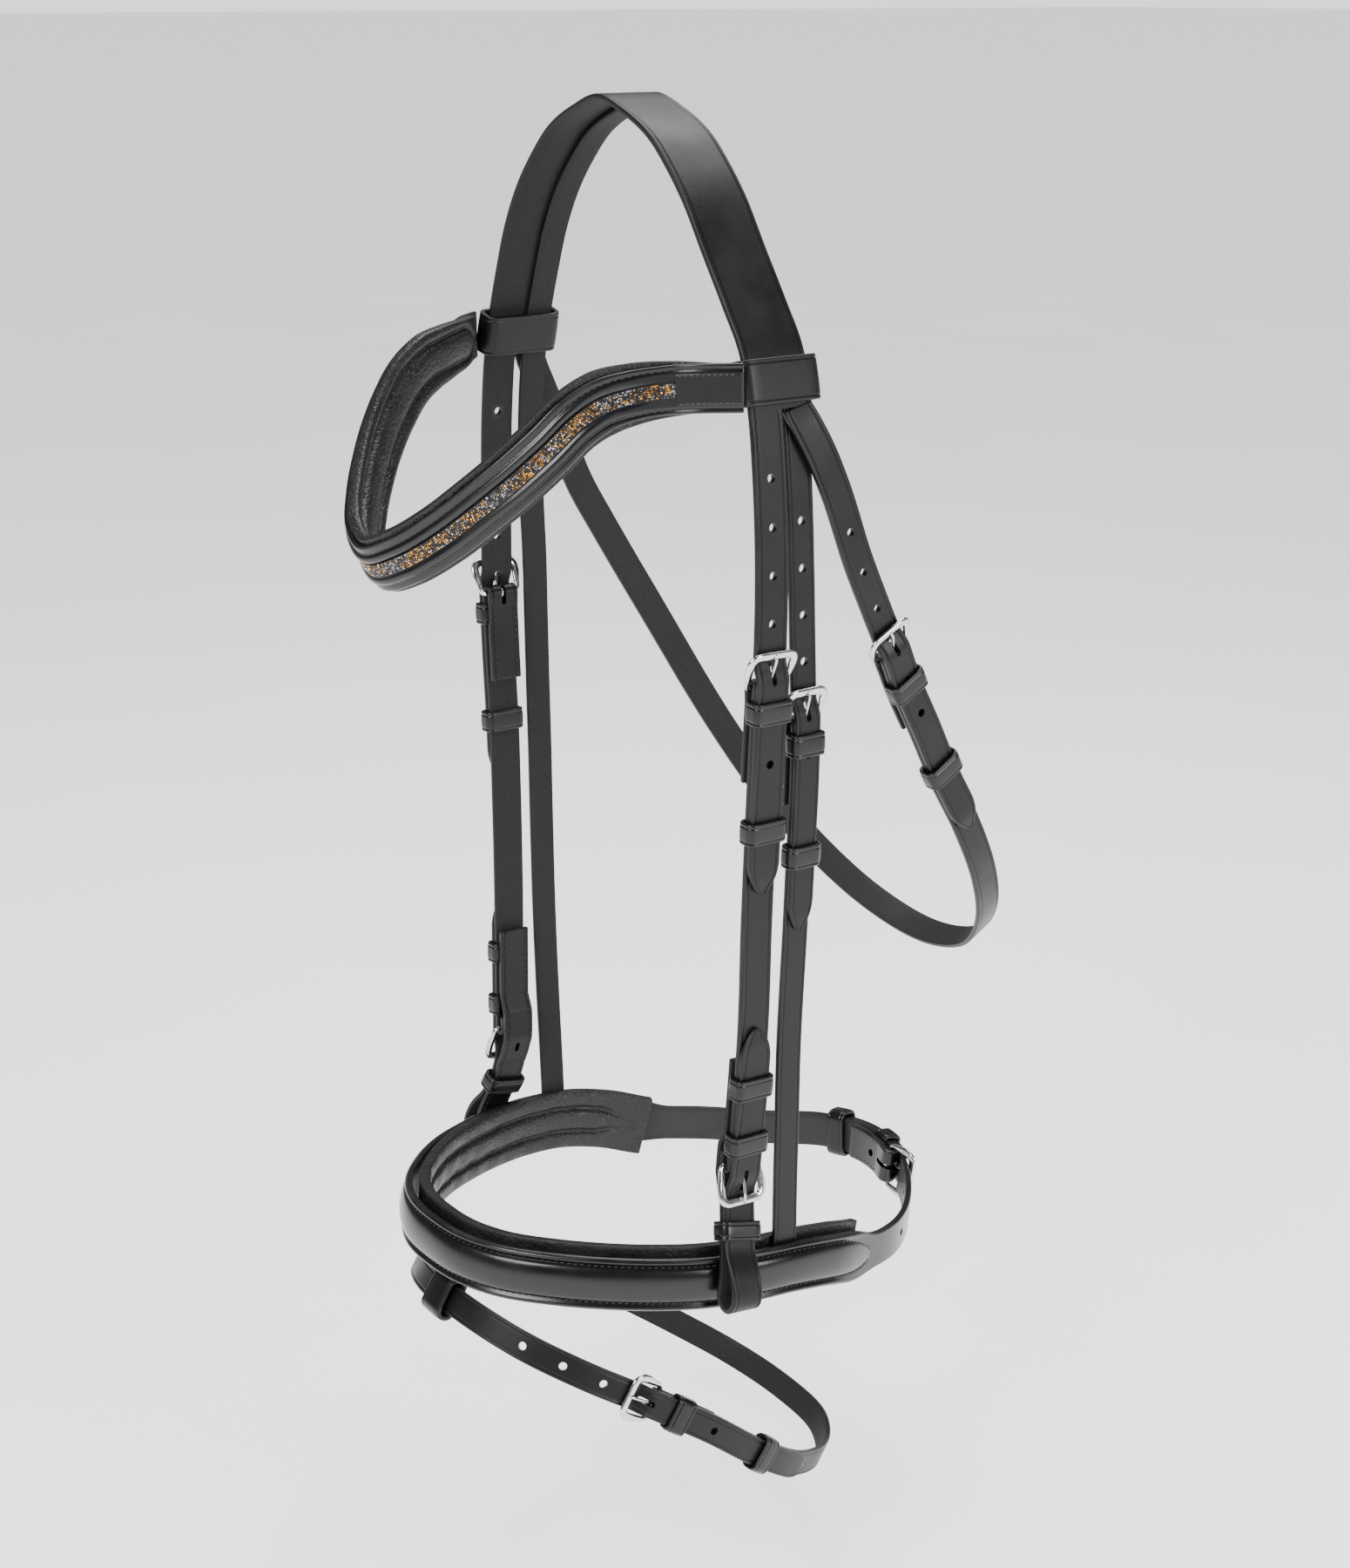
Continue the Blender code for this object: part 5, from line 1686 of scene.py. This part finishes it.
@dataclass
class Browband:
    """The wave-shaped band across the brow, its crystal channel and its loops."""

    pad_end: float = 8.0 * MM
    taper: float = 45.0 * MM
    stone_end: float = 22.0 * MM
    channel: float = 3.3 * MM
    seam: float = 7.9 * MM
    loop_z: float = -104.0
    stub: float = 3.5 * MM
    swell: float = 1.3 * MM
    pitch: float = 1.04 * MM
    rows: int = 6

    def full(self, s: Array) -> Array:
        """How full the rolls are: none near the loops, one along the brow."""
        return smooth((self.inside(s) - 30 * MM) / (40 * MM))

    def inside(self, s: Array) -> Array:
        """Distance from the nearer end."""
        return np.minimum(s, BROWBAND.length - s)

    def pad_half(self, s: Array) -> Array:
        """Half width of the padding, narrower towards its ends."""
        return np.interp(self.inside(s) - self.pad_end, [0.0, self.taper],
                         [9.5 * MM, BROW_PAD_WIDTH / 2])

    def relief(self, s: Array, a: Array) -> Array:
        """Two rolls beside the channel, valleys along the seams and a turned edge outside them.

        Args:
            s: metres along.
            a: metres across.

        Returns:
            Metres outwards.
        """
        far = np.abs(a)
        roll = np.sqrt(np.clip(1.0 - ((far - 5.7 * MM) / (2.0 * MM)) ** 2, 0.0, 1.0))
        valley = np.exp(-((far - self.seam) / (0.6 * MM)) ** 2)
        return self.full(s) * 1.5 * MM * roll - 0.4 * MM * valley

    def build(self, shop: Workshop) -> None:
        """The band, its padding, stones, tabs, seams and loops.

        Args:
            shop: the workshop.
        """
        length = BROWBAND.length
        run = refined([(-self.stub, 0.0), (length + self.stub, 0.0)], 1.4 * MM)
        half = BROW_WIDTH / 2 + self.swell * self.full(run[:, 0])
        strap = Strap("browband_strap", BROWBAND, run, half, BROW_THICK,
                      Section(0.0, corner=0.9 * MM, columns=41), relief=self.relief)
        shop.fit(strap.build(shop.finishes.glossy), "bridle", Slot.LEATHER, "browband")
        Pad("browband_pad", BROWBAND, self.pad_end, length - self.pad_end, -GAP, self.pad_half,
            7.0 * MM, 14 * MM, "browband_padding", 3).build(shop)
        s = np.linspace(self.stone_end, length - self.stone_end, 400)
        shop.edge_seams("browband", BROWBAND, s, self.seam, BROW_THICK - 0.35 * MM)
        for side, label in ((1, "near"), (-1, "off")):
            self.tab(shop, side, label)
            node = "browband_loop_" + label
            made = band(node + "_leather", HEAD, HEAD.at_height(self.loop_z, side < 0),
                        HEAD_WIDTH / 2, -(GAP + SLIP_THICK), HEAD_THICK, LOOP_EASE,
                        shop.finishes.strap, height=18.5 * MM, thickness=LOOP_THICK,
                        centre=(CHEEK_WIDTH - HEAD_WIDTH) / 2, corner=3.0 * MM)
            shop.fit(made, "bridle", Slot.LEATHER, node)
        self.stones(shop)

    def tab(self, shop: Workshop, side: int, label: str) -> None:
        """The loop's end, laid on the band and sewn down with slanting stitches.

        Args:
            shop: the workshop.
            side: -1 on the off side.
            label: near or off.
        """
        run = refined([(-3.0 * MM, BROW_THICK), (23.5 * MM, BROW_THICK)])
        made = Strap("browband_tab_" + label, BROWBAND, run, 6.3 * MM, 1.2 * MM,
                     Section(0.0, corner=0.5 * MM), side=side).build(shop.finishes.glossy)
        shop.fit(made, "bridle", Slot.LEATHER)
        s = np.linspace(0.0, 22.5 * MM, 30)
        shop.edge_seams("browband_tab_" + label, BROWBAND, s, 5.6 * MM, BROW_THICK + 1.15 * MM,
                        side, pitch=2.3 * MM, width=0.7 * MM, slant=30.0)

    def stones(self, shop: Workshop) -> None:
        """The crystal strip: small cut stones close together on a dark ground.

        A stone is a six-sided table over six sloping faces, on a wider rim. Gold and clear stones
        lie in patches, whose edges follow a slow wave along the strip.

        Args:
            shop: the workshop.
        """
        a = self.stone_end + 1.5 * MM
        b = BROWBAND.length - a
        run = refined([(a - 1 * MM, BROW_THICK), (b + 1 * MM, BROW_THICK)])
        ground = Strap("crystal_ground", BROWBAND, run, self.channel, 0.5 * MM,
                       Section(0.0, corner=0.2 * MM))
        shop.fit(ground.build(shop.finishes.strap), "bridle", Slot.LEATHER)
        pitch, rows = self.pitch, self.rows
        rng = np.random.default_rng(STONE_SEED)
        column = np.arange(a, b, pitch)
        s, r = np.meshgrid(column, np.arange(rows), indexing="ij")
        s = s + (r % 2) * pitch / 2 + rng.normal(0.0, 0.1 * MM, s.shape)
        u = (r - (rows - 1) / 2) * pitch * 0.93 + rng.normal(0.0, 0.07 * MM, s.shape)
        s, u = s.ravel(), u.ravel()
        place, along, out, width = BROWBAND.frame(s)
        lean = rng.normal(0.0, 0.16, (2, len(s), 1))
        out = unit(out + along * lean[0] + width * lean[1])
        along = unit(along - out * np.sum(along * out, -1, keepdims=True))
        across = np.cross(out, along)
        centre = BROWBAND.place(s, u, np.full_like(s, BROW_THICK + 0.42 * MM))
        turn = rng.uniform(0.0, 1.05, len(s))[:, None]
        size = rng.uniform(0.42, 0.53, len(s))[:, None] * MM
        angle = np.linspace(0.0, 2 * math.pi, 6, endpoint=False)[None] + turn
        rings = [(1.0, 0.0), (0.98, 0.3), (0.55, 0.72)]
        points = np.stack([np.stack([size * k * np.cos(angle), size * k * np.sin(angle),
                                     np.broadcast_to(size * h, angle.shape)], -1)
                           for k, h in rings], 1).reshape(len(s), STONE_VERTICES, 3)
        vertices = centre[:, None] + points @ np.stack([along, across, out], 1)
        caps = np.array([[12, 13, 14, 15], [12, 15, 16, 17], [3, 2, 1, 0], [5, 4, 3, 0]])
        faces = copies(np.vstack([grid_faces(3, 6, flip=True), caps]), len(s), STONE_VERTICES)
        wave = np.sin(s / (4.6 * MM) + 260 * u) + 0.6 * np.sin(s / (11 * MM) + 1.0)
        gold = rng.uniform(0.0, 1.0, len(s)) < 0.6 + 0.33 * np.clip(wave, -1.2, 1.2)
        hue = np.where(gold[:, None], GOLD, CLEAR)
        bright = rng.choice(BRIGHT, len(s), p=BRIGHT_SHARES)[:, None]
        tint = np.hstack([np.clip(hue * bright, 0.0, 1.0), np.ones((len(s), 1))])
        made = mesh_object("crystals", vertices, faces, shop.finishes.stones, flat=True,
                           attributes={"tint": np.repeat(tint, STONE_VERTICES, 0)})
        shop.fit(made, "bridle", Slot.CRYSTAL, "browband_crystals")


@dataclass
class Noseband:
    """The noseband: a raised panel sewn round its rim, the padding and the chin buckle."""

    chin_s: float = 36.0 * MM
    tip_s: float = -38.0 * MM
    pad_s: float = 130.0 * MM
    taper: float = 16.0 * MM
    widen: float = 10.0 * MM
    inner_layer: float = 31.0 * MM
    lap: float = 22.0 * MM
    rise: float = 40.0 * MM
    keeper: float = 12.0 * MM
    runner: float = 44.0 * MM
    panel: float = 8.3 * MM
    panel_end: float = 34.0 * MM

    def inside(self, s: Array) -> Array:
        """Distance from the panel's nearer end."""
        return np.minimum(s - self.pad_s, NOSEBAND.length - self.pad_s - s) + 6 * MM

    def rim(self, s: Array) -> Array:
        """Half height of the raised panel, drawn in to a round point at each end."""
        share = np.clip(1.0 - self.inside(s) / self.panel_end, 0.0, 1.0)
        return self.panel * np.sqrt(1.0 - share**2.2)

    def relief(self, s: Array, a: Array) -> Array:
        """The panel's swell, a valley along its seam, and a piped edge on either side.

        Args:
            s: metres along.
            a: metres across.

        Returns:
            Metres outwards.
        """
        rim = np.maximum(self.rim(s), 0.05 * MM)
        inside = self.inside(s)
        full = smooth(inside / (30 * MM))
        far = np.abs(a)
        swell = np.clip(1.0 - (far / rim) ** 2, 0.0, 1.0) ** 0.6 * (rim > 0.1 * MM)
        valley = np.exp(-((far - rim - 0.4 * MM) / (0.6 * MM)) ** 2) * smooth(inside / (3 * MM))
        pipe = np.exp(-((far - NOSE_WIDTH / 2 + 1.7 * MM) / (0.9 * MM)) ** 2)
        return 2.5 * MM * swell * full**0.5 - 0.45 * MM * valley + 0.7 * MM * pipe * full

    def build(self, shop: Workshop) -> None:
        """The strap, its padding, seams, buckle and bands.

        Args:
            shop: the workshop.
        """
        plan = Buckle("chin_buckle", NOSEBAND, self.chin_s, -1, CHIN_WIDTH, NOSE_THICK, NOSE_THICK)
        around = NOSEBAND.length
        pad = [self.pad_s, around - self.pad_s]
        narrow = [pad[0] - self.taper, pad[1] + self.taper]
        s, fold, _ = closed_stations(plan, self.inner_layer, plan.s_inner - self.lap, self.tip_s,
                                     pad[::-1])
        half = tip_half(s - self.tip_s, CHIN_WIDTH)
        grow = smooth(np.minimum((s - narrow[0]), (narrow[1] - s)) / (self.taper + self.widen))
        half = half + grow * (NOSE_WIDTH - CHIN_WIDTH) / 2
        level = np.where(s < narrow[0], plan.level(s), 0.0)
        level = level + plan.v_holder * smooth((s - pad[1]) / (around - self.rise - pad[1]))
        run = np.vstack([np.column_stack([s, level]), fold])
        half = np.concatenate([half, np.full(len(fold), CHIN_WIDTH / 2)])
        strap = Strap("noseband_strap", NOSEBAND, run, half, NOSE_THICK,
                      Section(0.0, corner=1.1 * MM, columns=45), relief=self.relief,
                      skive=(SKIVE, 0.0))
        shop.strap(strap, "noseband", plan.holes(3, 1, 0.0) + plan.slots(0.0), plan.hook_slot(),
                   finish=shop.finishes.glossy)
        Pad("noseband_pad", NOSEBAND, pad[0], pad[1], -(SLIP_THICK + SLIP_ROOM),
            lambda s: np.full(np.shape(s), NOSE_PAD_WIDTH / 2), 6.2 * MM, 26 * MM,
            "noseband_padding", 5).build(shop)
        s = np.linspace(pad[0] - 5.8 * MM, pad[1] + 5.8 * MM, 700)
        shop.edge_seams("noseband", NOSEBAND, s, self.rim(s) + 0.4 * MM, NOSE_THICK - 0.25 * MM)
        s = np.linspace(around + plan.s_inner - self.inner_layer + 1.5 * MM,
                        around + plan.s_inner - 7 * MM, 30)
        shop.edge_seams("chin_fold", NOSEBAND, s, CHIN_WIDTH / 2 - SEAM_INSET,
                        plan.v_holder - LAYER_GAP - NOSE_THICK, out=-1)
        shop.buckle(plan, "bridle")
        shop.bands("chin", "bridle", NOSEBAND,
                   (plan.s_inner - self.keeper, plan.s_inner - self.runner), CHIN_WIDTH / 2,
                   (plan.v_holder, LIFT + NOSE_THICK), ease=CHIN_RUNNER_EASE, corner=2.8 * MM)


@dataclass
class FlashStrap:
    """The narrow strap under the noseband, with its buckle and the loop that carries it."""

    buckle_s: float = 224.0 * MM
    tail: float = 124.0 * MM
    inner_layer: float = 34.0 * MM
    keeper: float = 12.5 * MM
    runner: float = 70.0 * MM
    lap: float = 12.0 * MM
    rise_start: float = 120.0 * MM
    rise: float = 100.0 * MM

    def build(self, shop: Workshop) -> None:
        """The strap, its buckle, bands and loop.

        Args:
            shop: the workshop.
        """
        plan = Buckle("flash_buckle", FLASH, self.buckle_s, -1, FLASH_WIDTH, FLASH_THICK,
                      FLASH_THICK)
        tip, half = plan.s_outer - self.tail, FLASH_WIDTH / 2
        s, fold, join = closed_stations(plan, self.inner_layer, tip - self.lap, tip)
        rise = smooth((s - join + self.rise_start) / self.rise)
        run = np.vstack([np.column_stack([s, plan.level(s) + plan.v_holder * rise]), fold])
        halves = np.concatenate([tip_half(s - tip, FLASH_WIDTH), np.full(len(fold), half)])
        strap = Strap("flash_leather", FLASH, run, halves, FLASH_THICK, SMALL, skive=(SKIVE, 0.0))
        shop.strap(strap, "flash_strap", plan.holes(3, 2, 0.0) + plan.slots(0.0),
                   plan.hook_slot(), body="flash")
        shop.buckle(plan, "flash")
        shop.bands("flash", "flash", FLASH,
                   (plan.s_inner - self.keeper, plan.s_inner - self.runner), half,
                   (plan.v_holder, LIFT + FLASH_THICK))
        front = float(FLASH.along[np.argmin(FLASH.places[:, 1])])
        shop.band("flash_loop", "bridle", FLASH, front, half, 0.0, FLASH_THICK, FLASH_LOOP_EASE,
                  height=15.0 * MM, thickness=LOOP_THICK, corner=2.4 * MM)
        hanger = Route(HANGER, (1.0, 0.0, 0.0))
        strap = Strap("flash_hanger", hanger, refined([(0.0, 0.0), (hanger.length, 0.0)]),
                      7.5 * MM, 1.8 * MM, SMALL)
        shop.fit(strap.build(shop.finishes.band), "bridle", Slot.LEATHER)


@dataclass
class Studio:
    """A pale floor, soft lights and the camera."""

    floor_z: float = -0.70
    floor_half: float = 80.0
    eye: tuple = (0.8979, -0.6316, 0.0471)
    target: tuple = (0.0, 0.011, -0.304)
    lens: float = 57.416
    sensor: float = 36.0
    sky: float = 1.6
    sky_in_gloss: float = 0.25
    lights: tuple = (("key", (0.5, -1.5, 0.8), 0.9, 44.0), ("side", (1.7, 0.5, 0.2), 0.8, 26.0),
                     ("top", (-0.3, 0.5, 1.2), 1.2, 34.0))

    def build(self) -> None:
        """Floor, world, lights and camera."""
        self.floor()
        self.world()
        for name, place, width, power in self.lights:
            light = bpy.data.lights.new(name, "AREA")
            light.size = width
            light.energy = power
            self.aimed(name, light, place)
        camera = bpy.data.cameras.new("camera")
        camera.lens = self.lens
        camera.sensor_width = self.sensor
        bpy.context.scene.camera = self.aimed("camera", camera, self.eye)

    def aimed(self, name: str, data: bpy.types.ID, place: tuple) -> bpy.types.Object:
        """A light or camera turned to the target.

        Args:
            name: its name.
            data: the light or camera.
            place: where it stands.

        Returns:
            The object.
        """
        made = linked(name, data)
        made.location = place
        way = Vector(self.target) - Vector(place)
        made.rotation_euler = way.to_track_quat("-Z", "Y").to_euler()
        return made

    def floor(self) -> None:
        """A pale, faintly mottled floor that reaches far past the picture."""
        mesh = bpy.data.meshes.new("floor")
        corners = [(x * self.floor_half, y * self.floor_half, self.floor_z)
                   for x, y in ((-1, -1), (1, -1), (1, 1), (-1, 1))]
        mesh.from_pydata(corners, [], [(0, 1, 2, 3)])
        g = Graph("pale_floor")
        g.set(Base_Color=g.mix(g.ramp(g.noise(3.0), 0.3, 0.7), (0.86, 0.86, 0.86),
                               (0.89, 0.89, 0.89)), Roughness=0.7)
        mesh.materials.append(g.material)
        linked("floor", mesh)

    def world(self) -> None:
        """A white world, dimmer in reflections than it is to the camera."""
        world = bpy.data.worlds.new("studio")
        world.use_nodes = True
        tree = world.node_tree
        background = tree.nodes["Background"]
        background.inputs["Color"].default_value = (1.0, 1.0, 1.0, 1.0)
        path = tree.nodes.new("ShaderNodeLightPath")
        share = tree.nodes.new("ShaderNodeMapRange")
        share.inputs["To Min"].default_value = self.sky
        share.inputs["To Max"].default_value = self.sky_in_gloss
        tree.links.new(path.outputs["Is Glossy Ray"], share.inputs["Value"])
        tree.links.new(share.outputs["Result"], background.inputs["Strength"])
        bpy.context.scene.world = world


def main() -> None:
    """Build the bridle and the studio."""
    logging.basicConfig(level=logging.INFO, format="%(message)s")
    Studio().build()
    shop = Workshop()
    assemblies = [Headpiece(), Cheek(1, "near"), Cheek(-1, "off"), Sliphead(), Throatlatch(),
                  Browband(), Noseband(), FlashStrap()]
    for assembly in assemblies:
        assembly.build(shop)
        LOG.info("%s built", type(assembly).__name__)


if __name__ == "__main__":
    main()
